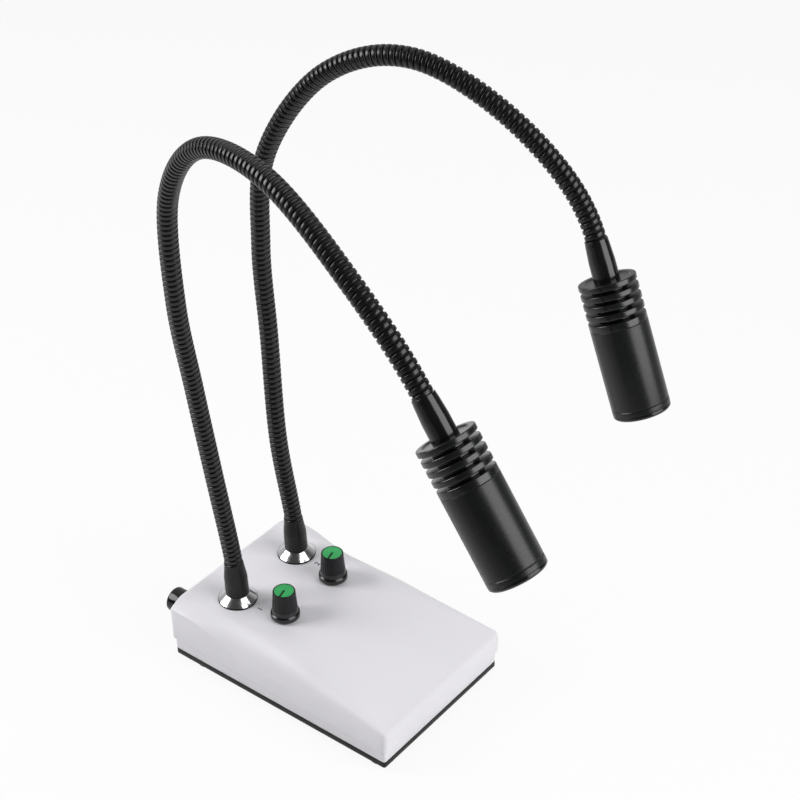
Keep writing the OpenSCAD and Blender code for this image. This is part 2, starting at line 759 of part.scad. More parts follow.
// Potentiometer: can under the panel, threaded bushing through it, and three solder lugs
module pot_body(a) {
    shaft_room = shaft_d / 2 + fit;
    lug = [1.2, 5, 0.8];
    color("darkgray") at_knob(a) translate([0, 0, -shell_t]) difference() {
        union() {
            translate([0, 0, -pot_h]) cylinder(h = pot_h, d = pot_d);
            translate([0, 0, -1]) cylinder(h = bushing_l + 1, d = bushing_d);
            for (i = [-1 : 1]) translate([i * 5, -pot_d / 2 - 1, -pot_h / 2]) cube(lug, center = true);
        }
        translate([0, 0, -pot_h + 1.5]) cylinder(h = pot_h + bushing_l, r = shaft_room);
    }
}

// Two nuts that clamp the potentiometers on the panel, inside the knobs' skirts
module pot_nuts() {
    color("silver") for (a = [0, 1]) at_knob(a) hex_nut(pot_nut_w, pot_nut_t, bushing_d / 2 + fit);
}

// Turning shaft of a potentiometer
module pot_shaft(a) {
    low = -shell_t - pot_h + 1.5 + fit;
    high = knob_lift + knob_h - cap_t - 1.5;
    color("silver") at_knob(a) translate([0, 0, low]) cylinder(h = high - low, d = shaft_d);
}

// Knob: flared skirt, tapered grip, a bore for the shaft and a seat for the coloured cap
module knob(a) {
    body_d = knob_top_d + 1.6;
    nut_room = bushing_l - shell_t + 1;
    bore = shaft_d / 2 + fit;
    bore_top = knob_h - cap_t - 1.5;
    lean = atan2((body_d - knob_top_d) / 2, knob_h - knob_skirt_h);
    color("dimgray") at_knob(a) translate([0, 0, knob_lift]) difference() {
        rotate_extrude() polygon([
            [bore, nut_room], [knob_d / 2 - 2, nut_room], [knob_d / 2 - 2, 0], [knob_d / 2 - 0.5, 0],
            [knob_d / 2, 1.2], [knob_d / 2 - 0.1, knob_skirt_h - 2],
            [knob_d / 2 - 0.5, knob_skirt_h - 0.8], [body_d / 2, knob_skirt_h],
            [knob_top_d / 2, knob_h - 0.5], [knob_top_d / 2 - 0.3, knob_h],
            [cap_d / 2 + fit, knob_h], [cap_d / 2 + fit, knob_h - cap_t], [0, knob_h - cap_t],
            [0, bore_top], [bore, bore_top]
        ]);
        for (i = [0 : flutes - 1]) rotate([0, 0, 360 * (i + 0.5) / flutes])
            translate([body_d / 2 + flute_r / 4, 0, knob_skirt_h + flute_r])
            rotate([0, -lean, 0]) cylinder(h = knob_h, r = flute_r);
    }
}

// Coloured cap in the knob's top, with its pointer groove
module knob_cap(a) {
    groove_h = cap_t / 3;
    color("mediumseagreen") at_knob(a) translate([0, 0, knob_lift + knob_h - cap_t]) difference() {
        cylinder(h = cap_t, d = cap_d);
        rotate([0, 0, pointer_at]) translate([0, -pointer_w / 2, cap_t - groove_h])
            cube([cap_d, pointer_w, groove_h + 1]);
    }
}

// Driver board with its transformer, capacitor, bridge and terminal block
module driver_board() {
    color("seagreen") translate([0, board_y, board_z]) {
        difference() {
            translate([-board_w / 2, -board_l / 2, 0]) cube([board_w, board_l, board_t]);
            translate([0, -board_y, 0]) at_board_screws()
                translate([0, 0, -1]) cylinder(h = board_t + 2, r = board_screw_d / 2 + hole_gap);
        }
        translate([-board_w / 6, -board_l / 6, coil_size.z / 2 + board_t / 2])
            cube(coil_size, center = true);
        translate([board_w / 6, -board_l / 6, board_t / 2])
            cylinder(h = capacitor_size.y, d = capacitor_size.x);
        translate([board_w / 8, board_l / 5, bridge_size.z / 2 + board_t / 2])
            cube(bridge_size, center = true);
        translate([-board_w / 5, board_l / 4, terminal_size.z / 2 + board_t / 2])
            cube(terminal_size, center = true);
    }
}

// Four screws that hold the driver board on the tray's posts
module board_screws() {
    color("silver") at_board_screws() translate([0, 0, board_z + board_t]) {
        cylinder(h = board_screw_d / 2, d = 1.9 * board_screw_d);
        translate([0, 0, -board_t - board_lift + 1]) cylinder(h = board_t + board_lift, d = board_screw_d);
    }
}

// Fuse holder: flange outside the rear wall and a barrel behind it
module fuse_holder() {
    color("dimgray") at_rear(-fuse_x) difference() {
        union() {
            cylinder(h = fuse_flange_t, d = fuse_cap_d);
            translate([0, 0, -fuse_barrel_l])
                cylinder(h = fuse_barrel_l + fuse_flange_t / 2, d = fuse_barrel_d);
        }
        translate([0, 0, -fuse_barrel_l + 1.5])
            cylinder(h = fuse_barrel_l + fuse_flange_t, r = fuse_stem_d / 2 + fit);
    }
}

// Nut of the fuse holder, inside the rear wall
module fuse_nut() {
    color("dimgray") at_rear(-fuse_x) translate([0, 0, -shell_t - fuse_nut_t]) rotate([0, 0, 30])
        hex_nut(fuse_nut_w, fuse_nut_t, fuse_barrel_d / 2 + fit);
}

// Round cap of the fuse holder, with a rounded end and a stem in the barrel
module fuse_cap() {
    stand = fuse_flange_t + 0.3;
    round_r = 1.5;
    color("dimgray") at_rear(-fuse_x) rotate_extrude() polygon(concat(
        [[0, stand - fuse_stem_l], [fuse_stem_d / 2, stand - fuse_stem_l], [fuse_stem_d / 2, stand],
         [fuse_cap_d / 2, stand]],
        [for (i = [0 : 4]) [
            fuse_cap_d / 2 - round_r + round_r * cos(22.5 * i),
            stand + fuse_cap_l - round_r + round_r * sin(22.5 * i)]],
        [[0, stand + fuse_cap_l]]
    ));
}

// Glass fuse behind the cap's stem
module fuse() {
    color("lightcyan") at_rear(-fuse_x)
        translate([0, 0, fuse_flange_t + 0.3 - fuse_stem_l - fuse_l]) cylinder(h = fuse_l, d = fuse_d);
}

// Power inlet: flange, body through the rear wall, figure-of-eight recess and two pins
module power_inlet() {
    color("dimgray") at_rear(inlet_x) {
        difference() {
            union() {
                linear_extrude(inlet_flange_t) plan(inlet_flange.x, inlet_flange.y, 2);
                translate([0, 0, -inlet_body_l / 2])
                    cube([inlet_body.x, inlet_body.y, inlet_body_l + 1], center = true);
            }
            translate([0, 0, inlet_flange_t - inlet_deep]) linear_extrude(inlet_deep + 1) {
                square([inlet_pin_gap, inlet_mouth], center = true);
                for (x = [-1, 1]) translate([x * inlet_pin_gap / 2, 0]) circle(d = inlet_mouth);
            }
        }
        for (x = [-1, 1]) translate([x * inlet_pin_gap / 2, 0, inlet_flange_t - inlet_deep - 1])
            cylinder(h = inlet_pin_l + 1, d = inlet_pin_d);
    }
}

upper_housing();
lower_tray();
base_plate();
rubber_feet();
case_screws();
ferrule_nuts();
pot_nuts();
driver_board();
board_screws();
fuse_holder();
fuse_nut();
fuse_cap();
fuse();
power_inlet();
for (a = [0, 1]) {
    collar(a);
    ferrule(a);
    base_sleeve(a);
    pot_body(a);
    pot_shaft(a);
    knob(a);
    knob_cap(a);
    head_sleeve(a);
    heat_sink(a);
    barrel(a);
    bezel(a);
    lens(a);
    reflector(a);
    led_board(a);
    for (k = [0 : links - 1])
        hose(a, k);
}
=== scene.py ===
import json
import math

import bmesh
import bpy
from mathutils import Matrix, Vector


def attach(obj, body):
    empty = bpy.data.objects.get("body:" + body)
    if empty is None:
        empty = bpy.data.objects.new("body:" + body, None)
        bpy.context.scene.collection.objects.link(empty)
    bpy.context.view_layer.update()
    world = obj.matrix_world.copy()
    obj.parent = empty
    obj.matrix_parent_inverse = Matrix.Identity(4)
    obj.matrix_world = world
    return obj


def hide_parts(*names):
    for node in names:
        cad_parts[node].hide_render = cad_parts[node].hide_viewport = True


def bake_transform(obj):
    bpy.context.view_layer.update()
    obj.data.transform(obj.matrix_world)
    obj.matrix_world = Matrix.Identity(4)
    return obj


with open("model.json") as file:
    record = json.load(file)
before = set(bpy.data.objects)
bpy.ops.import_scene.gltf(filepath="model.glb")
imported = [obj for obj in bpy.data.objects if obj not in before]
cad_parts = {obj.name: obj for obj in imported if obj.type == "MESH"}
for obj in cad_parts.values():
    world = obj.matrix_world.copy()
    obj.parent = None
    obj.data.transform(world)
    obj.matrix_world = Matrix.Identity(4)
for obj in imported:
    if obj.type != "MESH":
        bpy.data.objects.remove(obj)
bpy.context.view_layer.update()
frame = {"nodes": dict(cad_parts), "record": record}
nodes = frame["nodes"]
scene = bpy.context.scene
MM = 0.001

# The base in millimetres, as in the part's source
BASE_W, BASE_L, CORNER_R = 100.0, 150.0, 1.5
FOOT_H, PLATE_T, TRAY_H, TRAY_FLOOR, TRAY_WALL = 2.0, 3.7, 8.0, 2.0, 2.5
SHELL_T, OVERHANG, EDGE_R = 2.5, 1.5, 3.0
PANEL_H, PANEL_L, SKIRT_H, SKIRT_RISE = 33.0, 80.0, 13.0, 7.0
SIDE_RUN, NOSE_RUN, REAR_RUN, FACET_AHEAD, REAR_FULL = 18.5, 1.5, 9.0, 46.0, 1.2
REAR_BEND, NOSE_BEND = 1.2, 1.5
TRAY_Z = FOOT_H + PLATE_T
SEAM_Z = TRAY_Z + TRAY_H
SKIRT_Z = TRAY_Z + SKIRT_H
PANEL_Z = TRAY_Z + PANEL_H
HALF_W, HALF_L, SHELL_R = BASE_W / 2 + OVERHANG, BASE_L / 2 + OVERHANG, CORNER_R + OVERHANG
SLOPE_Y = BASE_L / 2 - PANEL_L
WIDE_Y = FACET_AHEAD - HALF_L
# These differ a little from the part's source: the last fit of the housing to the photograph's outline
FRONT_H, SHOULDER_AT, SHOULDER_L, REAR_DROP, NOSE_FULL = 21.0, 12.0, 44.0, 4.0, 3.4
SLOPE_BEND, FULL_BEND = 1.4, 1.8

# Arms, knobs, lamp heads and rear fittings in millimetres, as in the part's source
SIDES = ((1, -1), (2, 1))
LINKS = 8
ARM_X, ARM_Y, KNOB_X, KNOB_Y = 25.0, 48.0, 20.5, 17.0
COLLAR_R, COLLAR_H, COLLAR_RIM = 10.9, 4.8, 0.8
FOOT_SLEEVE_L, HEAD_SLEEVE_L, FLEX_GAP = 21.0, 19.0, 1.0
KNOB_H, KNOB_SKIRT_H, KNOB_LIFT, FLUTES = 17.5, 6.2, 0.6, 30
CAP_R, CAP_T, POINTER = 5.4, 1.4, math.radians(195)
CAP_Z = KNOB_H - CAP_T
HEAD_R, CORE_R, FIN_COUNT, FIN_T, FIN_STEP, FLANGE_T = 13.65, 8.5, 4, 2.8, 4.6, 3.5
RECESS_H, SOCKET_L, SPIGOT_L, BARREL_L, BEZEL_L, BEZEL_BEVEL = 0.6, 6.0, 4.0, 41.4, 2.2, 0.9
SINK_L = FIN_COUNT * FIN_STEP + FLANGE_T
BARREL_END = SINK_L + BARREL_L
REAR_H, FUSE_X, INLET_X, PIN_X = 20.8, -36.5, 18.0, 3.4
REAR_Z = TRAY_Z + REAR_H
INLET_HALF_W, INLET_HALF_H = 11.05, 5.25

# Edges sharper than these angles, in degrees, stay sharp when a mesh is shaded
CREASE, SOFT_CREASE, TUBE_CREASE = 32.0, 40.0, 60.0


# Small helpers for meshes
def add_mesh(name, verts, faces, matrix=None, sharp=CREASE):
    """A mesh object from points in millimetres, smooth except at edges sharper than the angle."""
    me = bpy.data.meshes.new(name)
    me.from_pydata([tuple(c * MM for c in v) for v in verts], [], faces)
    bm = bmesh.new()
    bm.from_mesh(me)
    bmesh.ops.recalc_face_normals(bm, faces=bm.faces)
    bm.to_mesh(me)
    bm.free()
    me.shade_smooth()
    me.set_sharp_from_angle(angle=math.radians(sharp))
    ob = bpy.data.objects.new(name, me)
    scene.collection.objects.link(ob)
    if matrix is not None:
        ob.matrix_world = matrix
    return ob


LONGEST_CUT = 0.48


def filleted(points, steps=5):
    """A closed (r, z) outline whose corners (r, z, radius) are rounded."""
    out = []
    n = len(points)
    for i, p in enumerate(points):
        radius = p[2] if len(p) > 2 else 0.0
        here = Vector((p[0], p[1]))
        if radius <= 0:
            out.append((here.x, here.y))
            continue
        before = Vector(points[i - 1][:2]) - here
        after = Vector(points[(i + 1) % n][:2]) - here
        half = before.angle(after) / 2
        cut_back = min(radius / math.tan(half), before.length * LONGEST_CUT, after.length * LONGEST_CUT)
        radius = cut_back * math.tan(half)
        start, end = here + before.normalized() * cut_back, here + after.normalized() * cut_back
        middle = (before.normalized() + after.normalized()).normalized()
        centre = here + middle * (radius / math.sin(half))
        a, b = start - centre, end - centre
        for k in range(steps + 1):
            t = k / steps
            d = (a * (1 - t) + b * t).normalized() * radius
            out.append((centre.x + d.x, centre.y + d.y))
    return out


def lathe(name, outline, matrix, segments=96, sharp=CREASE, wave=None, lean=None):
    """A closed (r, z) outline turned about local Z; wave changes the radius, lean moves each level."""
    verts, rings, faces = [], [], []
    for r, z in outline:
        if r < 1e-6:
            rings.append([len(verts)])
            verts.append((0.0, 0.0, z))
            continue
        ring = []
        dx, dy = lean(z) if lean else (0.0, 0.0)
        for j in range(segments):
            a = 2 * math.pi * j / segments
            rr = wave(r, z, a) if wave else r
            ring.append(len(verts))
            verts.append((rr * math.cos(a) + dx, rr * math.sin(a) + dy, z))
        rings.append(ring)
    for i, a in enumerate(rings):
        b = rings[(i + 1) % len(rings)]
        if len(a) == 1 and len(b) == 1:
            continue
        for j in range(segments):
            k = (j + 1) % segments
            if len(a) == 1:
                faces.append((a[0], b[j], b[k]))
            elif len(b) == 1:
                faces.append((a[j], b[0], a[k]))
            else:
                faces.append((a[j], b[j], b[k], a[k]))
    return add_mesh(name, verts, faces, matrix, sharp)


def ring_stack(name, rings, matrix=None, sharp=CREASE):
    """A solid through a list of rings with equal counts of points, capped at both ends."""
    n = len(rings[0])
    verts = [p for ring in rings for p in ring]
    faces = []
    for i in range(len(rings) - 1):
        a, b = i * n, (i + 1) * n
        for j in range(n):
            k = (j + 1) % n
            faces.append((a + j, a + k, b + k, b + j))
    faces.append(tuple(range(n))[::-1])
    faces.append(tuple((len(rings) - 1) * n + j for j in range(n)))
    return add_mesh(name, verts, faces, matrix, sharp)


TOP_ROUND_STEPS = 3


def prism(name, outline, z0, z1, matrix, round_r=0.0, sharp=CREASE):
    """A flat outline of (x, y) points drawn up from z0 to z1, with a small round along the top edge."""
    n = len(outline)
    levels = [(z0, 0.0)]
    if round_r > 0:
        for k in range(TOP_ROUND_STEPS + 1):
            a = math.pi / 2 * k / TOP_ROUND_STEPS
            levels.append((z1 - round_r + round_r * math.sin(a), round_r * (1 - math.cos(a))))
    else:
        levels.append((z1, 0.0))
    rings = []
    for z, inset in levels:
        ring = []
        for i, p in enumerate(outline):
            here = Vector(p)
            ahead = Vector(outline[(i + 1) % n]) - Vector(outline[i - 1])
            inward = Vector((-ahead.y, ahead.x)).normalized()
            ring.append((here.x + inward.x * inset, here.y + inward.y * inset, z))
        rings.append(ring)
    return ring_stack(name, rings, matrix, sharp)


def rounded_plan(half_x, half_y, radius, steps=10):
    """Points round a rectangle with round corners, anticlockwise."""
    out = []
    for cx, cy, a0 in ((1, 1, 0), (-1, 1, 90), (-1, -1, 180), (1, -1, 270)):
        for k in range(steps + 1):
            a = math.radians(a0 + 90 * k / steps)
            out.append((cx * (half_x - radius) + radius * math.cos(a),
                        cy * (half_y - radius) + radius * math.sin(a)))
    return out


def box(name, low, high):
    """A block between two corners."""
    verts = [(x, y, z) for x in (low[0], high[0]) for y in (low[1], high[1]) for z in (low[2], high[2])]
    faces = [(0, 1, 3, 2), (4, 6, 7, 5), (0, 4, 5, 1), (2, 3, 7, 6), (0, 2, 6, 4), (1, 5, 7, 3)]
    return add_mesh(name, verts, faces)


def cut(ob, cutter, sharp):
    """Takes the cutter's solid out of the object, and removes the cutter."""
    mod = ob.modifiers.new("cut", "BOOLEAN")
    mod.operation = "DIFFERENCE"
    mod.solver = "EXACT"
    mod.object = cutter
    bpy.context.view_layer.update()
    graph = bpy.context.evaluated_depsgraph_get()
    done = bpy.data.meshes.new_from_object(ob.evaluated_get(graph))
    ob.modifiers.clear()
    ob.data = done
    ob.data.shade_smooth()
    ob.data.set_sharp_from_angle(angle=math.radians(sharp))
    bpy.data.objects.remove(cutter)


def at(x, y, z):
    """A place in millimetres, without a turn."""
    return Matrix.Translation((x * MM, y * MM, z * MM))


def limit(t):
    return max(0.0, min(1.0, t))


# Small helpers for shader nodes
def srgb(r, g, b):
    """A colour as a shader takes it, from the values of 0 to 255 that a picture shows."""
    def linear(c):
        c /= 255.0
        return c / 12.92 if c <= 0.04045 else ((c + 0.055) / 1.055) ** 2.4
    return (linear(r), linear(g), linear(b), 1.0)


def shaded(colour, factor):
    """A colour made darker or paler, at most white."""
    return tuple(min(1.0, c * factor) for c in colour[:3]) + (1.0,)


def add_node(tree, kind, **settings):
    n = tree.nodes.new(kind)
    for key, value in settings.items():
        setattr(n, key, value)
    return n


def ramp(tree, value, low, high, at_low, at_high, kind="LINEAR"):
    """A value that goes from at_low to at_high while the given one goes from low to high."""
    n = add_node(tree, "ShaderNodeMapRange", interpolation_type=kind)
    for socket, number in (("From Min", low), ("From Max", high), ("To Min", at_low), ("To Max", at_high)):
        n.inputs[socket].default_value = number
    tree.links.new(value, n.inputs["Value"])
    return n.outputs["Result"]


def most(tree, a, b):
    """The larger of two values."""
    n = add_node(tree, "ShaderNodeMath", operation="MAXIMUM")
    tree.links.new(a, n.inputs[0])
    tree.links.new(b, n.inputs[1])
    return n.outputs[0]


# Materials, all from procedural nodes
NOISE_LOW, NOISE_HIGH = 0.3, 0.7
TONE_DETAIL, GLOSS_DETAIL, BUMP_DETAIL, SCUFF_DETAIL = 4.0, 3.0, 2.0, 6.0
LEAST_ROUGH, COAT_ROUGH, BUMP_DEPTH = 0.02, 0.1, 0.0001
SCUFF_SCALE, SCUFF_STRETCH, SCUFF_LOW, SCUFF_HIGH, SCUFF_DARK = 90.0, (1.0, 0.25, 1.0), 0.62, 0.74, 0.8


def surface(name, colour, rough=0.5, metallic=0.0, specular=0.5, coat=0.0,
            tone=0.06, tone_scale=60.0, rough_spread=0.06, rough_scale=220.0,
            grain=0.0, grain_scale=2500.0, lines=0.0, line_scale=(40.0, 40.0, 4000.0), scuffs=0.0):
    """A principled material with uneven tone and gloss, fine grain, turning lines and faint scuffs."""
    m = bpy.data.materials.new(name)
    m.use_nodes = True
    tree = m.node_tree
    tree.nodes.clear()
    link = tree.links.new
    out = add_node(tree, "ShaderNodeOutputMaterial")
    shader = add_node(tree, "ShaderNodeBsdfPrincipled")
    link(shader.outputs["BSDF"], out.inputs["Surface"])
    shader.inputs["Metallic"].default_value = metallic
    shader.inputs["Specular IOR Level"].default_value = specular
    shader.inputs["Coat Weight"].default_value = coat
    shader.inputs["Coat Roughness"].default_value = COAT_ROUGH
    place = add_node(tree, "ShaderNodeTexCoord")

    def noise(scale, detail, stretch=None):
        n = add_node(tree, "ShaderNodeTexNoise")
        n.inputs["Scale"].default_value = scale
        n.inputs["Detail"].default_value = detail
        if stretch is None:
            link(place.outputs["Object"], n.inputs["Vector"])
        else:
            move = add_node(tree, "ShaderNodeMapping")
            move.inputs["Scale"].default_value = stretch
            link(place.outputs["Object"], move.inputs["Vector"])
            link(move.outputs["Vector"], n.inputs["Vector"])
        return n.outputs["Fac"]

    def mixed(factor, a, b):
        n = add_node(tree, "ShaderNodeMix", data_type="RGBA")
        link(factor, n.inputs["Factor"])
        for socket, value in ((n.inputs["A"], a), (n.inputs["B"], b)):
            if isinstance(value, tuple):
                socket.default_value = value
            else:
                link(value, socket)
        return n.outputs["Result"]

    uneven = ramp(tree, noise(tone_scale, TONE_DETAIL), NOISE_LOW, NOISE_HIGH, 0.0, 1.0)
    tint = mixed(uneven, shaded(colour, 1 - tone), shaded(colour, 1 + tone))
    gloss = ramp(tree, noise(rough_scale, GLOSS_DETAIL), NOISE_LOW, NOISE_HIGH,
                 max(LEAST_ROUGH, rough - rough_spread), min(1.0, rough + rough_spread))
    if scuffs > 0:
        marks = noise(SCUFF_SCALE, SCUFF_DETAIL, SCUFF_STRETCH)
        marks = ramp(tree, marks, SCUFF_LOW, SCUFF_HIGH, 0.0, scuffs)
        tint = mixed(marks, tint, shaded(colour, SCUFF_DARK))
    link(tint, shader.inputs["Base Color"])
    link(gloss, shader.inputs["Roughness"])
    heights = []
    if grain > 0:
        heights.append((grain, noise(grain_scale, BUMP_DETAIL)))
    if lines > 0:
        heights.append((lines, noise(1.0, BUMP_DETAIL, line_scale)))
    bumps = None
    for strength, height in heights:
        n = add_node(tree, "ShaderNodeBump")
        n.inputs["Strength"].default_value = strength
        n.inputs["Distance"].default_value = BUMP_DEPTH
        link(height, n.inputs["Height"])
        if bumps is not None:
            link(bumps, n.inputs["Normal"])
        bumps = n.outputs["Normal"]
    if bumps is not None:
        link(bumps, shader.inputs["Normal"])
    return m


def glass(name, colour, rough):
    m = surface(name, colour, rough=rough, rough_spread=0.01, tone=0.01)
    shader = next(n for n in m.node_tree.nodes if n.type == "BSDF_PRINCIPLED")
    shader.inputs["Transmission Weight"].default_value = 1.0
    shader.inputs["IOR"].default_value = 1.5
    return m


white = surface("white_moulding", srgb(232, 230, 235), rough=0.42, rough_spread=0.05,
                tone=0.012, tone_scale=25.0, grain=0.10, grain_scale=2600.0, scuffs=0.08)
white_low = surface("white_tray_moulding", srgb(230, 228, 233), rough=0.45,
                    tone=0.012, tone_scale=25.0, grain=0.10, grain_scale=2600.0, scuffs=0.10)
hose_black = surface("black_hose", srgb(18, 18, 19), rough=0.25, rough_spread=0.05, rough_scale=500.0,
                     specular=0.42, tone=0.2, tone_scale=140.0, grain=0.08, grain_scale=1800.0)
# The grooves' black is duller and reflects less than the hose's: painted shade in the grooves
groove_painted_shade = surface("black_hose_groove_painted_shade", srgb(17, 17, 17), rough=0.6, specular=0.2,
                       tone=0.3, tone_scale=400.0)
sleeve_black = surface("black_sleeve", srgb(17, 17, 18), rough=0.17, rough_spread=0.04, rough_scale=160.0,
                       tone=0.15, tone_scale=90.0, grain=0.2, grain_scale=260.0)
foot_black = surface("black_foot_sleeve", srgb(18, 18, 19), rough=0.4, rough_spread=0.06, rough_scale=200.0,
                     specular=0.35, tone=0.15, tone_scale=120.0, grain=0.25, grain_scale=420.0)
anodised = surface("black_anodised", srgb(20, 21, 22), rough=0.31, rough_spread=0.04, rough_scale=900.0,
                   specular=0.42, tone=0.12, tone_scale=120.0, lines=0.10, line_scale=(20.0, 20.0, 5200.0),
                   grain=0.05, grain_scale=3800.0)
fin_black = surface("black_anodised_fins", srgb(19, 20, 21), rough=0.22, rough_spread=0.04, rough_scale=900.0,
                    specular=0.55, tone=0.12, tone_scale=120.0, lines=0.08, line_scale=(20.0, 20.0, 5200.0))
bezel_black = surface("black_bezel", srgb(18, 19, 20), rough=0.2, rough_spread=0.04, specular=0.4,
                      tone=0.1, lines=0.08, line_scale=(20.0, 20.0, 6000.0))
knob_black = surface("black_knob", srgb(22, 22, 24), rough=0.36, rough_spread=0.06, rough_scale=700.0,
                     specular=0.25, tone=0.12, tone_scale=180.0, grain=0.12, grain_scale=2400.0)
knob_gloss = surface("black_knob_skirt", srgb(18, 18, 20), rough=0.22, rough_spread=0.04, rough_scale=500.0,
                     specular=0.55, tone=0.1)
green = surface("green_cap", srgb(48, 170, 92), rough=0.42, rough_spread=0.05, tone=0.07, tone_scale=160.0,
                grain=0.1, grain_scale=1600.0)
pointer_black = surface("black_pointer", srgb(14, 24, 18), rough=0.5, tone=0.1)
chrome = surface("chrome", srgb(222, 222, 224), rough=0.17, rough_spread=0.03, metallic=1.0,
                 tone=0.03, tone_scale=200.0, lines=0.03, line_scale=(30.0, 30.0, 3000.0))
steel = surface("plated_steel", srgb(186, 186, 190), rough=0.3, metallic=1.0, tone=0.06, grain=0.1)
plate_black = surface("black_plate", srgb(24, 24, 25), rough=0.45, specular=0.25,
                      tone=0.18, tone_scale=110.0, grain=0.25, grain_scale=1500.0)
# The feet's black rubber, which on the collars' rims is painted shade
rubber_and_rim_shade = surface("black_rubber", srgb(24, 24, 24), rough=0.75, specular=0.2,
                 tone=0.15, grain=0.3, grain_scale=1600.0)
gloss_black = surface("black_gloss", srgb(16, 16, 17), rough=0.12, rough_spread=0.04, rough_scale=300.0,
                      specular=0.4, tone=0.1)
matte_black = surface("black_matte", srgb(32, 32, 33), rough=0.5, tone=0.12, grain=0.2)
board_green = surface("green_board", srgb(30, 110, 62), rough=0.35, tone=0.2, tone_scale=300.0, coat=0.3)
aluminium = surface("pressed_aluminium", srgb(176, 176, 178), rough=0.34, metallic=1.0, tone=0.06, grain=0.1)
mirror = surface("reflector_metal", srgb(226, 226, 228), rough=0.1, metallic=1.0, tone=0.03)
led_metal = surface("led_board", srgb(214, 208, 178), rough=0.4, tone=0.06)
clear = glass("clear_glass", srgb(244, 250, 250), 0.03)
ink = surface("panel_print", srgb(52, 52, 56), rough=0.55, tone=0.12, tone_scale=900.0)

by_slot = {
    "white_housing": white, "white_tray": white_low, "black_steel": plate_black, "black_rubber": rubber_and_rim_shade,
    "steel": steel, "green_board": board_green, "black_gloss": gloss_black, "black_matte": matte_black,
    "clear_glass": clear, "chrome": chrome, "black_sleeve": sleeve_black, "pot_can": aluminium,
    "black_knob": knob_black, "green_cap": green, "black_anodised": anodised, "black_bezel": bezel_black,
    "mirror_cone": mirror, "led_board": led_metal, "black_hose": hose_black,
}
slot_of = {row["node"]: row["material_slot"] for row in frame["record"]["subparts"]}


def wear(ob, material):
    """Gives an object one material in place of any that it has."""
    ob.data.materials.clear()
    ob.data.materials.append(material)


for name, ob in nodes.items():
    wear(ob, by_slot[slot_of[name]])


def dress(ob, body, material, *replaced):
    """Gives a new piece its material and its body, and hides the solids that it stands for."""
    wear(ob, material)
    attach(ob, body)
    if replaced:
        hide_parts(*replaced)


def wear_below(ob, height, material):
    """Gives the faces below a height, in millimetres, a second material."""
    ob.data.materials.append(material)
    for face in ob.data.polygons:
        if face.center.z < height * MM:
            face.material_index = 1


# The housing: sections across the base, lofted from front to rear
CURVE_STEPS, TOP_STEPS, CORNER_STEPS, LENGTH_STEPS, SOFT_STEPS = 26, 6, 14, 96, 6
RUN_REACH, SLOPE_REACH = 8.0, 5.0
LEAST_R, LEAST_FACET, LIP = 0.3, 0.5, 0.5
CUT_FROM, CUT_TO = 60.0, 90.0


def round_off(d):
    return math.sqrt(1 - limit(1 - d / EDGE_R) ** 2)


def run_at(y):
    """How far the side facet reaches inward at y."""
    if y > WIDE_Y:
        return REAR_RUN + (SIDE_RUN - REAR_RUN) * (max(0.0, HALF_L - y) / (HALF_L - WIDE_Y)) ** REAR_BEND
    return SIDE_RUN + (NOSE_RUN - SIDE_RUN) * limit((WIDE_Y - y) / FACET_AHEAD) ** NOSE_BEND


def slope_at(y):
    """The height of the top at y: level at the rear, and falling to the front."""
    return PANEL_Z - (PANEL_H - FRONT_H) * (max(0.0, SLOPE_Y - y) / (SLOPE_Y + HALF_L)) ** SLOPE_BEND


def wall_at(y):
    """The height of the side wall at y: up to the shoulder at the rear, and low ahead of it."""
    t = limit((HALF_L - SHOULDER_AT - y) / SHOULDER_L)
    t = t * t * (3 - 2 * t)
    low = SKIRT_Z + SKIRT_RISE * (y + HALF_L) / (2 * HALF_L)
    return (PANEL_Z - REAR_DROP) * (1 - t) + low * t


def full_at(y):
    """How full the side facet is at y: 1 is flat, 2 a round, and more nearly square."""
    return REAR_FULL + (NOSE_FULL - REAR_FULL) * limit((HALF_L - y) / (2 * HALF_L)) ** FULL_BEND


def softened(f, y, reach):
    """The mean of f near y, so that creases become soft; the reach shrinks towards the ends."""
    reach = max(0.0, min(reach, HALF_L - abs(y)))
    near = range(-SOFT_STEPS, SOFT_STEPS + 1)
    return sum(f(y + reach * k / SOFT_STEPS) for k in near) / len(near)


def half_width(y, inset):
    r = max(LEAST_R, SHELL_R - inset)
    past = max(0.0, abs(y) - HALF_L + inset + r)
    return HALF_W - inset - r + math.sqrt(max(0.0, r * r - past * past))


def section(y, inset, low, lip):
    """One section of the skin: a wall, a side facet with soft creases, fuller at the front, and the top."""
    run = softened(run_at, y, RUN_REACH)
    drop = EDGE_R * (1 - round_off(HALF_L - abs(y)))
    top = softened(slope_at, y, SLOPE_REACH) - drop
    wall = wall_at(y) - (drop if y > 0 else 0.0)
    rise = top - wall
    size = math.hypot(rise, run)
    nx, nz = rise / size, run / size
    a = max(LEAST_FACET, run - inset * (1 - (1 - nz) / nx))
    b = max(LEAST_FACET, rise - inset * (1 - (1 - nx) / nz))
    w, top = half_width(y, inset), top - inset
    if lip:
        side = [(w - lip, low), (w - 0.3 * lip, low + 0.3 * lip), (w, low + lip)]
    else:
        side = [(w, low), (w, low + 0.01), (w, low + 0.02)]
    power = 2 / full_at(y)
    for k in range(CURVE_STEPS + 1):
        t = math.pi / 2 * k / CURVE_STEPS
        side.append((w - a * (1 - max(0.0, math.cos(t)) ** power), top - b * (1 - math.sin(t) ** power)))
    half = side + [((w - a) * (1 - k / TOP_STEPS), top) for k in range(1, TOP_STEPS + 1)]
    return [(x, y, z) for x, z in half] + [(-x, y, z) for x, z in reversed(half[:-1])]


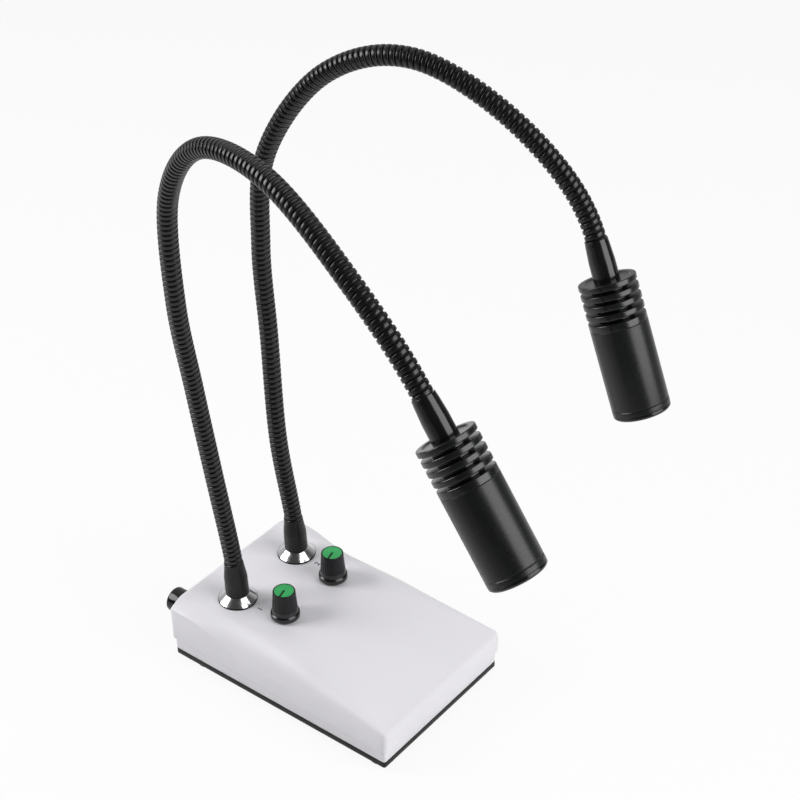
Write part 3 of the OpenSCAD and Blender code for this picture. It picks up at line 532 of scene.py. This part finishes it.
def stations(inset):
    """Where the sections stand, close together round the corners at both ends."""
    r = max(LEAST_R, SHELL_R - inset)
    straight = HALF_L - inset - r
    ys = [-straight - r * math.cos(math.pi / 2 * i / CORNER_STEPS) for i in range(CORNER_STEPS + 1)]
    ys += [-straight + 2 * straight * i / LENGTH_STEPS for i in range(1, LENGTH_STEPS + 1)]
    ys += [straight + r * math.sin(math.pi / 2 * i / CORNER_STEPS) for i in range(1, CORNER_STEPS + 1)]
    return ys


def shell():
    """The outer and inner skins, joined along the lower edge."""
    outer = [section(y, 0.0, SEAM_Z, LIP) for y in stations(0.0)]
    inner = [section(y, SHELL_T, SEAM_Z, 0.0) for y in stations(SHELL_T)]
    n, rows = len(outer[0]), len(outer)
    verts = [p for ring in outer + inner for p in ring]
    faces = []
    for base in (0, rows * n):
        for i in range(rows - 1):
            for j in range(n - 1):
                a = base + i * n + j
                faces.append((a, a + 1, a + n + 1, a + n))
        faces.append(tuple(base + j for j in range(n)))
        faces.append(tuple(base + (rows - 1) * n + j for j in range(n)))
    for i in range(rows - 1):
        for j in (0, n - 1):
            a, b = i * n + j, rows * n + i * n + j
            faces.append((a, a + n, b + n, b))
    for i in (0, rows - 1):
        a, b = i * n, rows * n + i * n
        faces.append((a, a + n - 1, b + n - 1, b))
    return add_mesh("housing_shell", verts, faces, sharp=SOFT_CREASE)


housing = shell()
opening = box("cut_inlet", (INLET_X - INLET_HALF_W, CUT_FROM, REAR_Z - INLET_HALF_H),
              (INLET_X + INLET_HALF_W, CUT_TO, REAR_Z + INLET_HALF_H))
cut(housing, opening, SOFT_CREASE)
dress(housing, "base", white, "upper_housing")


# The tray and the plate, with softly broken edges
def plan_ring(inset, z):
    corner = max(0.4, CORNER_R - inset)
    return [(x, y, z) for x, y in rounded_plan(BASE_W / 2 - inset, BASE_L / 2 - inset, corner)]


tray = ring_stack("tray", [
    plan_ring(0.5, TRAY_Z), plan_ring(0.15, TRAY_Z + 0.15), plan_ring(0.0, TRAY_Z + 0.5),
    plan_ring(0.0, SEAM_Z - 0.4), plan_ring(0.12, SEAM_Z - 0.12), plan_ring(0.4, SEAM_Z),
    plan_ring(TRAY_WALL, SEAM_Z), plan_ring(TRAY_WALL, TRAY_Z + TRAY_FLOOR)])
dress(tray, "base", white_low, "lower_tray")
plate = ring_stack("bottom_plate", [
    plan_ring(0.35, FOOT_H), plan_ring(0.1, FOOT_H + 0.1), plan_ring(0.0, FOOT_H + 0.35),
    plan_ring(0.0, TRAY_Z - 0.35), plan_ring(0.1, TRAY_Z - 0.1), plan_ring(0.35, TRAY_Z)])
dress(plate, "base", plate_black, "base_plate")

# Collars and foot sleeves, as outlines of (radius, height, fillet) above the panel
# The collar's rim up to this height wears the black rubber: painted shade where the collar stands on the panel
PAINTED_RIM_SHADE_H = 0.9
COLLAR = filleted([(4.8, 0.0), (COLLAR_R, 0.0), (COLLAR_R, COLLAR_RIM), (10.75, 0.95), (6.7, COLLAR_H, 0.35),
                   (4.8, COLLAR_H)])
CRIMP = [(3.2, -8.5), (4.7, -8.5), (4.7, COLLAR_H), (4.85, COLLAR_H), (4.85, COLLAR_H + 13.0),
         (3.2, COLLAR_H + 13.0)]
FOOT_SLEEVE = filleted([
    (4.9, COLLAR_H), (6.6, COLLAR_H, 0.3), (6.45, COLLAR_H + 11.5, 9.0), (5.45, COLLAR_H + 19.0, 2.0),
    (5.35, COLLAR_H + FOOT_SLEEVE_L, 0.25), (4.9, COLLAR_H + FOOT_SLEEVE_L)], 8)
LEAN = Vector((-0.5, 0.63, 0.0))
LEAN_BEND = 1.5


def leaning(z):
    """The soft foot sleeves follow their arms a little to one side."""
    t = limit((z - COLLAR_H) / FOOT_SLEEVE_L) ** LEAN_BEND
    return LEAN.x * t, LEAN.y * t


def add_foot(number, side):
    """The collar, with painted shade on its rim at the panel, the crimped end of the arm, and the sleeve over
    it.
    """
    foot = at(side * ARM_X, ARM_Y, PANEL_Z)
    collar = lathe(f"collar_ring_{number}", COLLAR, foot, 192)
    dress(collar, "base", chrome, f"collar_{number}")
    # Painted shade: the collar's faces below the rim height take the black rubber
    wear_below(collar, PAINTED_RIM_SHADE_H, rubber_and_rim_shade)
    crimp = lathe(f"crimped_end_{number}", CRIMP, foot, 64, lean=leaning)
    dress(crimp, "base", steel, f"ferrule_{number}")
    sleeve = lathe(f"foot_sleeve_{number}", FOOT_SLEEVE, foot, lean=leaning)
    dress(sleeve, "base", foot_black, f"base_sleeve_{number}")


# Knobs, as an outline of (radius, height) above the panel: skirt, waist, tapered grip, and the cap's recess
GRIP_LOW, GRIP_HIGH, GRIP_R, GRIP_TAPER, GRIP_STEPS = 6.4, 16.9, 7.0, 0.76, 14
FLUTED_FROM_R, FLUTE_DEPTH, FLUTE_SHAPE, FLUTE_IN, FLUTE_OUT = 5.9, 0.16, 1.5, 0.5, 0.4
RIM_R, RIM_ROUND = 7.4, 0.75
KNOB_BODY = [(3.1, 4.9), (6.0, 4.9), (6.0, 0.0), (RIM_R, 0.0)]
KNOB_BODY += [(RIM_R + RIM_ROUND * math.sin(t), RIM_ROUND - RIM_ROUND * math.cos(t))
              for t in (0.4, 0.8, 1.2, math.pi / 2)]
KNOB_BODY += [(8.17, 1.5), (8.15, 2.3), (8.11, 2.65), (8.05, 2.87), (7.97, 2.98), (7.9, 3.045), (7.4, 3.51),
              (7.3, 3.62), (7.23, 3.85), (7.18, 4.4), (7.15, 5.0), (7.11, 5.6), (7.05, KNOB_SKIRT_H)]
KNOB_BODY += [(GRIP_R - GRIP_TAPER * k / GRIP_STEPS, GRIP_LOW + (GRIP_HIGH - GRIP_LOW) * k / GRIP_STEPS)
              for k in range(GRIP_STEPS + 1)]
KNOB_BODY += [(6.2, 17.15), (6.1, 17.38), (5.9, KNOB_H), (5.6, KNOB_H), (5.47, 17.4), (5.45, 17.2),
              (5.45, CAP_Z), (0.0, CAP_Z), (0.0, 14.6), (3.1, 14.6)]
# The cap is a disc with a slot from its middle to its rim, and a dark pointer lies in the slot
SLOT_W, SLOT_IN, SLOT_CORNER, CAP_STEPS, CAP_ROUND = 0.65, -0.4, 0.15, 90, 0.12
POINTER_END, POINTER_T = 5.35, 1.0


def fluted(r, z, a):
    """The fine flutes of the grip, which fade out at both of its ends."""
    if GRIP_LOW < z < GRIP_HIGH and r > FLUTED_FROM_R:
        fade = limit((z - GRIP_LOW) / FLUTE_IN) * limit((GRIP_HIGH - z) / FLUTE_OUT)
        return r - FLUTE_DEPTH * fade * (0.5 - 0.5 * math.cos(FLUTES * a)) ** FLUTE_SHAPE
    return r


def by_pointer(x, y):
    """A point on the cap from its place along the pointer and to the pointer's left."""
    return (math.cos(POINTER) * x - math.sin(POINTER) * y, math.sin(POINTER) * x + math.cos(POINTER) * y)


def add_knob(number, side):
    """The fluted body with its glossy skirt, the green cap and the pointer."""
    body, place = f"knob_{number}", at(side * KNOB_X, KNOB_Y, PANEL_Z + KNOB_LIFT)
    knob = lathe(f"knob_body_{number}", KNOB_BODY, place, 240, SOFT_CREASE, fluted)
    dress(knob, body, knob_black, f"knob_{number}")
    wear_below(knob, KNOB_SKIRT_H, knob_gloss)

    gap = math.asin(SLOT_W / CAP_R)
    angles = [POINTER + gap + (2 * math.pi - 2 * gap) * k / CAP_STEPS for k in range(CAP_STEPS + 1)]
    rim = [(CAP_R * math.cos(a), CAP_R * math.sin(a)) for a in angles]
    rim += [by_pointer(x, y) for x, y in (
        (SLOT_IN + SLOT_CORNER, -SLOT_W), (SLOT_IN, -SLOT_W * 0.6),
        (SLOT_IN, SLOT_W * 0.6), (SLOT_IN + SLOT_CORNER, SLOT_W))]
    cap = prism(f"knob_disc_{number}", rim, CAP_Z, KNOB_H, place, CAP_ROUND, SOFT_CREASE)
    dress(cap, body, green, f"knob_cap_{number}")
    bar = [by_pointer(x, y) for x, y in (
        (SLOT_IN, -SLOT_W), (POINTER_END, -SLOT_W), (POINTER_END, SLOT_W), (SLOT_IN, SLOT_W))]
    pointer = prism(f"knob_pointer_{number}", bar, CAP_Z, CAP_Z + POINTER_T, place)
    dress(pointer, body, pointer_black)


# The printed figures on the panel
FIGURE_X, FIGURE_Y, FIGURE_LIFT = 24.6, 30.6, 0.03
FIGURE_SIZE, FIGURE_T, FIGURE_BOLD = 4.6, 0.02, 0.08


def add_figure(number, side):
    letters = bpy.data.curves.new(f"figure_{number}", "FONT")
    letters.body = str(number)
    letters.size = FIGURE_SIZE * MM
    letters.extrude = FIGURE_T * MM
    letters.offset = FIGURE_BOLD * MM
    letters.align_x = "CENTER"
    drawn = bpy.data.objects.new(f"figure_curve_{number}", letters)
    drawn.matrix_world = at(side * FIGURE_X, FIGURE_Y, PANEL_Z + FIGURE_LIFT)
    scene.collection.objects.link(drawn)
    bpy.context.view_layer.update()
    flat = bpy.data.meshes.new_from_object(drawn.evaluated_get(bpy.context.evaluated_depsgraph_get()))
    figure = bpy.data.objects.new(f"panel_figure_{number}", flat)
    figure.matrix_world = drawn.matrix_world.copy()
    scene.collection.objects.link(figure)
    bpy.data.objects.remove(drawn)
    dress(figure, "base", ink)


for number, side in SIDES:
    add_foot(number, side)
    add_knob(number, side)
    add_figure(number, side)

# The arms: the same route as the solids, with the winding's own fine pitch.
# A route is the arm's side, the head's tilt and turn in degrees, and eight points from the arm's foot
ROUTES = {
    1: (-1, 53.5, 2.0, [(6, 4.5, 86), (12.5, 7, 144.5), (22, 4.5, 200.5), (29.5, -5, 264),
                        (40, -38.5, 303.5), (54.5, -91, 310.5), (68.5, -146.5, 287), (71, -185, 249)]),
    2: (1, 65.5, -11.0, [(-5.5, 4, 82.5), (-4.5, 7, 146.5), (-7.5, 6, 204), (-11.5, -5.5, 261),
                         (-6, -40.5, 309.5), (1.5, -89, 326), (13, -142, 300), (19, -176.5, 255.5)]),
}
ROOT, ROOT_PULL = Vector((-0.054, 0.068, 1.0)).normalized(), 0.8
TABLE_STEPS, RUN_ON = 120, 12.0
# The winding begins inside the foot sleeve and ends inside the head sleeve
START, END_OVERLAP, PITCH, ROUND = -7.5, 5.0, 3.1, 36
FIRST_BLEND, BLEND_IN = -6.0, 3.0
# One turn of the winding, as (share of the pitch, radius): a broad flat crown and a narrow groove
RIB = [(0.0, 4.15), (0.08, 4.2), (0.13, 4.5), (0.175, 4.82), (0.22, 4.94), (0.29, 4.985), (0.5, 5.0),
       (0.71, 4.985), (0.78, 4.94), (0.825, 4.82), (0.87, 4.5), (0.92, 4.2)]
ROWS = len(RIB)
# Rows that lie wholly below this radius are the grooves, and they take the painted shade
GROOVE_R = 4.5
PAINTED_SHADE_ROWS = [i for i in range(ROWS) if max(RIB[i][1], RIB[(i + 1) % ROWS][1]) <= GROOVE_R]


class Route:
    """The curve of one arm, with straight ends, as a table of places and headings by length."""

    def __init__(self, side, tilt, turn, points):
        foot = Vector((side * ARM_X, ARM_Y, PANEL_Z))
        tilt, turn = math.radians(tilt), math.radians(turn)
        self.aim = Vector((side * math.cos(tilt) * math.sin(turn), -math.cos(tilt) * math.cos(turn),
                           -math.sin(tilt)))
        self.knots = [foot + LEAN + Vector((0, 0, COLLAR_H + FOOT_SLEEVE_L + FLEX_GAP / 2))]
        self.knots += [foot + Vector((side * x, y, z)) for x, y, z in points]
        k = self.knots
        self.pulls = [ROOT * ROOT_PULL * (k[1] - k[0]).length]
        self.pulls += [(k[i + 1] - k[i - 1]) / 2 for i in range(1, LINKS)]
        self.pulls.append(self.aim * (k[-1] - k[-2]).length)
        self.seat = k[-1] + self.aim * HEAD_SLEEVE_L
        self.table = [(k[0] - ROOT * RUN_ON, ROOT)]
        self.marks = [-RUN_ON]
        for i in range(LINKS):
            for j in range(TABLE_STEPS):
                self.extend(self.point(i, j / TABLE_STEPS), self.heading(i, j / TABLE_STEPS))
        for extra in (0.0, RUN_ON):
            self.extend(k[-1] + self.aim * extra, self.aim)
        self.knot_at = [self.marks[1 + i * TABLE_STEPS] for i in range(LINKS + 1)]

    def extend(self, place, heading):
        self.table.append((place, heading))
        self.marks.append(self.marks[-1] + (place - self.table[-2][0]).length)

    def point(self, i, u):
        return (self.knots[i] * (2 * u ** 3 - 3 * u ** 2 + 1) + self.pulls[i] * (u ** 3 - 2 * u ** 2 + u)
                + self.knots[i + 1] * (3 * u ** 2 - 2 * u ** 3) + self.pulls[i + 1] * (u ** 3 - u ** 2))

    def heading(self, i, u):
        return (self.knots[i] * (6 * u ** 2 - 6 * u) + self.pulls[i] * (3 * u ** 2 - 4 * u + 1)
                + self.knots[i + 1] * (6 * u - 6 * u ** 2)
                + self.pulls[i + 1] * (3 * u ** 2 - 2 * u)).normalized()

    def at(self, s):
        """Place and heading at a length along the arm, by search in the table."""
        low, high = 0, len(self.marks) - 1
        while high - low > 1:
            mid = (low + high) // 2
            if self.marks[mid] <= s:
                low = mid
            else:
                high = mid
        t = (s - self.marks[low]) / (self.marks[high] - self.marks[low])
        (p, d), (q, e) = self.table[low], self.table[high]
        return p + (q - p) * t, (d + (e - d) * t).normalized()


def square_to(heading):
    """The direction square to a heading that is nearest to X."""
    return (Vector((1, 0, 0)) - heading * heading.x).normalized()


def winding(name, route, first, last):
    """Rows of the wound tube from one row number to another; the seam joins each turn to the next."""
    verts, faces, index = [], [], {}

    def vertex(i, j):
        if j == ROUND:
            i, j = i + ROWS, 0
        if (i, j) not in index:
            share, radius = RIB[i % ROWS]
            s = START + PITCH * (i // ROWS + share + j / ROUND)
            centre, t = route.at(min(max(s, route.marks[0]), route.marks[-1]))
            across = square_to(t)
            lift = t.cross(across)
            a = 2 * math.pi * j / ROUND
            index[(i, j)] = len(verts)
            verts.append(tuple(centre + radius * (math.cos(a) * across + math.sin(a) * lift)))
        return index[(i, j)]

    for i in range(first, last):
        for j in range(ROUND):
            faces.append((vertex(i, j), vertex(i, j + 1), vertex(i + 1, j + 1), vertex(i + 1, j)))
    skin = len(faces)
    # Both ends are closed by a fan of faces, across the turn and along its step at the seam
    for row, turned in ((first, True), (last, False)):
        middle = len(verts)
        verts.append(tuple(route.at(START + PITCH * (row / ROWS + 0.5))[0]))
        loop = [vertex(row, j) for j in range(ROUND + 1)]
        loop += [vertex(row + i, 0) for i in range(ROWS - 1, -1, -1)]
        for a, b in zip(loop, loop[1:]):
            faces.append((b, a, middle) if turned else (a, b, middle))
    tube = add_mesh(name, verts, faces, sharp=TUBE_CREASE)
    tube.data.materials.append(hose_black)
    tube.data.materials.append(groove_painted_shade)
    # Groove rows, and the hidden end caps, take the painted shade of the grooves
    for n, face in enumerate(tube.data.polygons):
        if n >= skin or (first + n // ROUND) % ROWS in PAINTED_SHADE_ROWS:
            face.material_index = 1
    return tube


def add_hose(number, route, bodies):
    """A piece for each bend, from the middle of one link to that of the next, and the end in the head."""
    middles = [(route.knot_at[k] + route.knot_at[k + 1]) / 2 for k in range(LINKS)]
    row_at = [round((s - START) / PITCH * ROWS) for s in middles]
    last_row = round((route.knot_at[LINKS] + END_OVERLAP - START) / PITCH * ROWS)
    for k in range(LINKS):
        first = 0 if k == 0 else row_at[k - 1]
        piece = winding(f"hose_{number}_bend_{k + 1}", route, first, row_at[k])
        begin = FIRST_BLEND if k == 0 else middles[k - 1] + BLEND_IN
        route.at(begin)[0] * MM
        route.at(middles[k] - BLEND_IN)[0] * MM
        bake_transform(piece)
        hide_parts(f"hose_{number}_{k + 1}")
    end = winding(f"hose_{number}_end", route, row_at[-1], last_row)
    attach(end, bodies[-1])


# The lamp head, as outlines of (radius, length, fillet) about its own axis
SPIGOT_R, BARREL_BORE_R, BEZEL_BORE_R = 11.3, 11.35, 10.1
WIRE_R, STEM_R, BEZEL_R = 2.5, 4.4, HEAD_R - 0.05
FIN_ROUND, ROOT_ROUND = 0.55, 0.3
HEAD_BOOT = filleted([
    (STEM_R, -HEAD_SLEEVE_L), (5.45, -HEAD_SLEEVE_L, 0.3), (5.5, -17.6, 0.8), (5.65, -16.4, 2.0),
    (6.15, -8.5, 9.0), (6.2, RECESS_H), (STEM_R, RECESS_H)], 8)
SINK = [(STEM_R, SOCKET_L), (STEM_R, RECESS_H), (10.2, RECESS_H, 0.3), (10.9, 0.0, 0.3)]
for fin in range(FIN_COUNT):
    low = FIN_STEP * fin
    SINK += [(HEAD_R, low, FIN_ROUND), (HEAD_R, low + FIN_T, FIN_ROUND),
             (CORE_R, low + FIN_T, ROOT_ROUND), (CORE_R, low + FIN_STEP, ROOT_ROUND)]
SINK += [(HEAD_R, FIN_STEP * FIN_COUNT, 0.5), (HEAD_R, SINK_L, 0.3), (SPIGOT_R, SINK_L),
         (SPIGOT_R, SINK_L + SPIGOT_L), (WIRE_R, SINK_L + SPIGOT_L), (WIRE_R, SOCKET_L)]
BARREL = [(BARREL_BORE_R, SINK_L), (HEAD_R, SINK_L, 0.3), (HEAD_R, BARREL_END - 3.0, 0.1),
          (HEAD_R - 0.3, BARREL_END - 2.55, 0.1), (HEAD_R, BARREL_END - 2.2, 0.15), (HEAD_R, BARREL_END, 0.2),
          (BARREL_BORE_R, BARREL_END)]
BEZEL = [(BEZEL_BORE_R, BARREL_END - SPIGOT_L), (SPIGOT_R, BARREL_END - SPIGOT_L), (SPIGOT_R, BARREL_END),
         (BEZEL_R, BARREL_END, 0.2), (BEZEL_R, BARREL_END + BEZEL_L - BEZEL_BEVEL, 0.3),
         (HEAD_R - BEZEL_BEVEL, BARREL_END + BEZEL_L, 0.3), (10.35, BARREL_END + BEZEL_L, 0.3),
         (BEZEL_BORE_R, BARREL_END + 1.7, 0.1)]


def add_head(number, route, body):
    """The sleeve, the finned sink, the barrel and its front ring, on the arm's last link."""
    x_axis = square_to(route.aim)
    head = Matrix((x_axis, route.aim.cross(x_axis), route.aim)).transposed().to_4x4()
    head.translation = route.seat * MM
    dress(lathe(f"head_boot_{number}", HEAD_BOOT, head), body, sleeve_black, f"head_sleeve_{number}")
    dress(lathe(f"finned_sink_{number}", filleted(SINK, 6), head, 128), body, fin_black, f"heat_sink_{number}")
    dress(lathe(f"barrel_tube_{number}", filleted(BARREL), head, 160), body, anodised, f"barrel_{number}")
    dress(lathe(f"front_ring_{number}", filleted(BEZEL), head, 160), body, bezel_black, f"bezel_{number}")


for number, settings in ROUTES.items():
    route = Route(*settings)
    bodies = ["base"] + [f"arm_{number}_link_{k}" for k in range(1, LINKS + 1)]
    add_hose(number, route, bodies)
    add_head(number, route, bodies[-1])

# Rear fittings: the fuse cap, and bright pins in the power inlet
RIDGES, RIDGE_DEPTH, RIDGED_FROM_R, RIDGE_LOW, RIDGE_HIGH = 24, 0.12, 6.9, 2.6, 8.6
FUSE_CAP = filleted([
    (0.0, -5.2), (3.7, -5.2, 0.3), (3.7, 1.8), (7.2, 1.8, 0.3), (7.2, 10.5, 1.3), (0.0, 10.5)], 7)
PIN = filleted([(0.0, -9.9), (1.24, -9.9), (1.24, -3.46, 0.6), (0.0, -3.46)], 6)


def on_rear(x):
    """A place on the rear wall, with local Z pointing out of it."""
    return at(x, HALF_L, REAR_Z) @ Matrix.Rotation(-math.pi / 2, 4, "X")


def ridged(r, z, a):
    """The fine ridges round the fuse cap."""
    if r > RIDGED_FROM_R and RIDGE_LOW < z < RIDGE_HIGH:
        return r - RIDGE_DEPTH * (0.5 - 0.5 * math.cos(RIDGES * a))
    return r


fuse_cap = lathe("fuse_cap_turned", FUSE_CAP, on_rear(FUSE_X), 192, SOFT_CREASE, ridged)
dress(fuse_cap, "fuse_cap", gloss_black, "fuse_cap")
for hand, x in (("left", -PIN_X), ("right", PIN_X)):
    pin = lathe(f"inlet_pin_{hand}", PIN, on_rear(INLET_X + x), 48)
    dress(pin, "base", steel)

# Floor, world, lamps and camera, in metres; AWAY and RIGHT are level, as the camera sees the object
AWAY = Vector((0.7835, 0.6213, 0.0))
RIGHT = Vector((0.6213, -0.7835, 0.0))
UP = Vector((0.0, 0.0, 1.0))
TARGET = Vector((-0.02, -0.05, 0.17))
# The floor's half width in millimetres, its grey, and how much of what is seen of it is its own white
FLOOR_REACH, FLOOR_GREY, FLOOR_SHARE = 20000, (0.86, 0.86, 0.86, 1.0), 0.9
# What the object gets of the floor's white: distances from a place behind it, and the strengths there
FLOOR_CENTRE, FLOOR_NEAR, FLOOR_FAR, NEAR_WHITE, FAR_WHITE = AWAY * 0.45, 0.6, 1.4, 0.9, 0.35
# What the object gets of the world's white: shares of the way to the backdrop, and the strengths there
BACKDROP, ROOM_END, BACKDROP_FULL = (AWAY - RIGHT * 0.1 + UP * 0.6).normalized(), 0.35, 0.85
ROOM_WHITE, BACKDROP_WHITE = 0.06, 0.7


def light_path(tree):
    """The light path node, and a value that is one for rays from the camera and through glass."""
    n = add_node(tree, "ShaderNodeLightPath")
    return n, most(tree, n.outputs["Is Camera Ray"], n.outputs["Is Transmission Ray"])


def paper_floor():
    """White paper to the viewer; what the object reflects of it dims further out, as in a studio."""
    m = bpy.data.materials.new("paper_floor")
    m.use_nodes = True
    tree = m.node_tree
    tree.nodes.clear()
    link = tree.links.new
    path, plain = light_path(tree)
    share = add_node(tree, "ShaderNodeMath", operation="MULTIPLY")
    share.inputs[1].default_value = FLOOR_SHARE
    link(most(tree, plain, path.outputs["Is Glossy Ray"]), share.inputs[0])
    matt = add_node(tree, "ShaderNodeBsdfDiffuse")
    matt.inputs["Color"].default_value = FLOOR_GREY
    bright = add_node(tree, "ShaderNodeEmission")
    spot = add_node(tree, "ShaderNodeTexCoord")
    apart = add_node(tree, "ShaderNodeVectorMath", operation="DISTANCE")
    apart.inputs[1].default_value = FLOOR_CENTRE
    link(spot.outputs["Object"], apart.inputs[0])
    dimmed = ramp(tree, apart.outputs["Value"], FLOOR_NEAR, FLOOR_FAR, NEAR_WHITE, FAR_WHITE, "SMOOTHSTEP")
    link(most(tree, plain, dimmed), bright.inputs["Strength"])
    both = add_node(tree, "ShaderNodeMixShader")
    link(share.outputs[0], both.inputs[0])
    link(matt.outputs[0], both.inputs[1])
    link(bright.outputs[0], both.inputs[2])
    out = add_node(tree, "ShaderNodeOutputMaterial")
    link(both.outputs[0], out.inputs["Surface"])
    return m


def studio():
    """White to the viewer; to the object, a white backdrop behind it and a dim room on the viewer's side."""
    world = bpy.data.worlds.new("studio")
    world.use_nodes = True
    tree = world.node_tree
    tree.nodes.clear()
    link = tree.links.new
    way = add_node(tree, "ShaderNodeTexCoord")
    behind = add_node(tree, "ShaderNodeVectorMath", operation="DOT_PRODUCT")
    behind.inputs[1].default_value = BACKDROP
    link(way.outputs["Generated"], behind.inputs[0])
    sky = add_node(tree, "ShaderNodeBackground")
    sky.inputs["Color"].default_value = (1.0, 1.0, 1.0, 1.0)
    plain = light_path(tree)[1]
    dimmed = ramp(tree, behind.outputs["Value"], ROOM_END, BACKDROP_FULL, ROOM_WHITE, BACKDROP_WHITE,
                  "SMOOTHSTEP")
    link(most(tree, plain, dimmed), sky.inputs["Strength"])
    out = add_node(tree, "ShaderNodeOutputWorld")
    link(sky.outputs[0], out.inputs["Surface"])
    return world


def softbox(name, offset, width, height, power):
    """An area lamp that looks at the object and isn't seen itself."""
    lamp = bpy.data.lights.new(name, "AREA")
    lamp.shape = "RECTANGLE"
    lamp.size, lamp.size_y = width, height
    lamp.energy = power
    ob = bpy.data.objects.new(name, lamp)
    ob.location = TARGET + offset
    ob.rotation_euler = (-offset).to_track_quat("-Z", "Y").to_euler()
    ob.visible_camera = False
    scene.collection.objects.link(ob)


floor = add_mesh("floor", [(x * FLOOR_REACH, y * FLOOR_REACH, 0)
                           for x, y in ((-1, -1), (1, -1), (1, 1), (-1, 1))], [(0, 1, 2, 3)])
wear(floor, paper_floor())
scene.world = studio()
softbox("softbox_right", RIGHT * 0.90 - AWAY * 0.52 + UP * 0.60, width=0.95, height=1.15, power=13.7)
softbox("softbox_left", -RIGHT * 1.055 + AWAY * 0.09 + UP * 0.563, width=0.6, height=0.7, power=9.8)

# The camera that was fitted to the photograph: its place, its angles in degrees, and its lens in pixels
CAMERA_AT = Vector((-0.57988, -0.50883, 0.69971))
AZIMUTH, ELEVATION, ROLL = math.radians(-51.589), math.radians(34.152), math.radians(-0.807)
LENS_PX, PICTURE_PX, SENSOR_W, NEAREST, FURTHEST = 1830.4, 800.0, 36.0, 0.05, 20.0

camera = bpy.data.cameras.new("camera")
camera.sensor_width = SENSOR_W
camera.lens = LENS_PX / PICTURE_PX * SENSOR_W
camera.clip_start, camera.clip_end = NEAREST, FURTHEST
back = Vector((math.sin(AZIMUTH) * math.cos(ELEVATION), -math.cos(AZIMUTH) * math.cos(ELEVATION),
               math.sin(ELEVATION)))
level_right = (-back).cross(UP).normalized()
level_up = level_right.cross(-back)
cam_right = level_right * math.cos(ROLL) + level_up * math.sin(ROLL)
cam_up = level_up * math.cos(ROLL) - level_right * math.sin(ROLL)
pose = Matrix((cam_right, cam_up, back)).transposed().to_4x4()
pose.translation = CAMERA_AT
viewer = bpy.data.objects.new("camera", camera)
viewer.matrix_world = pose
scene.collection.objects.link(viewer)
scene.camera = viewer
scene.view_settings.view_transform = "Standard"
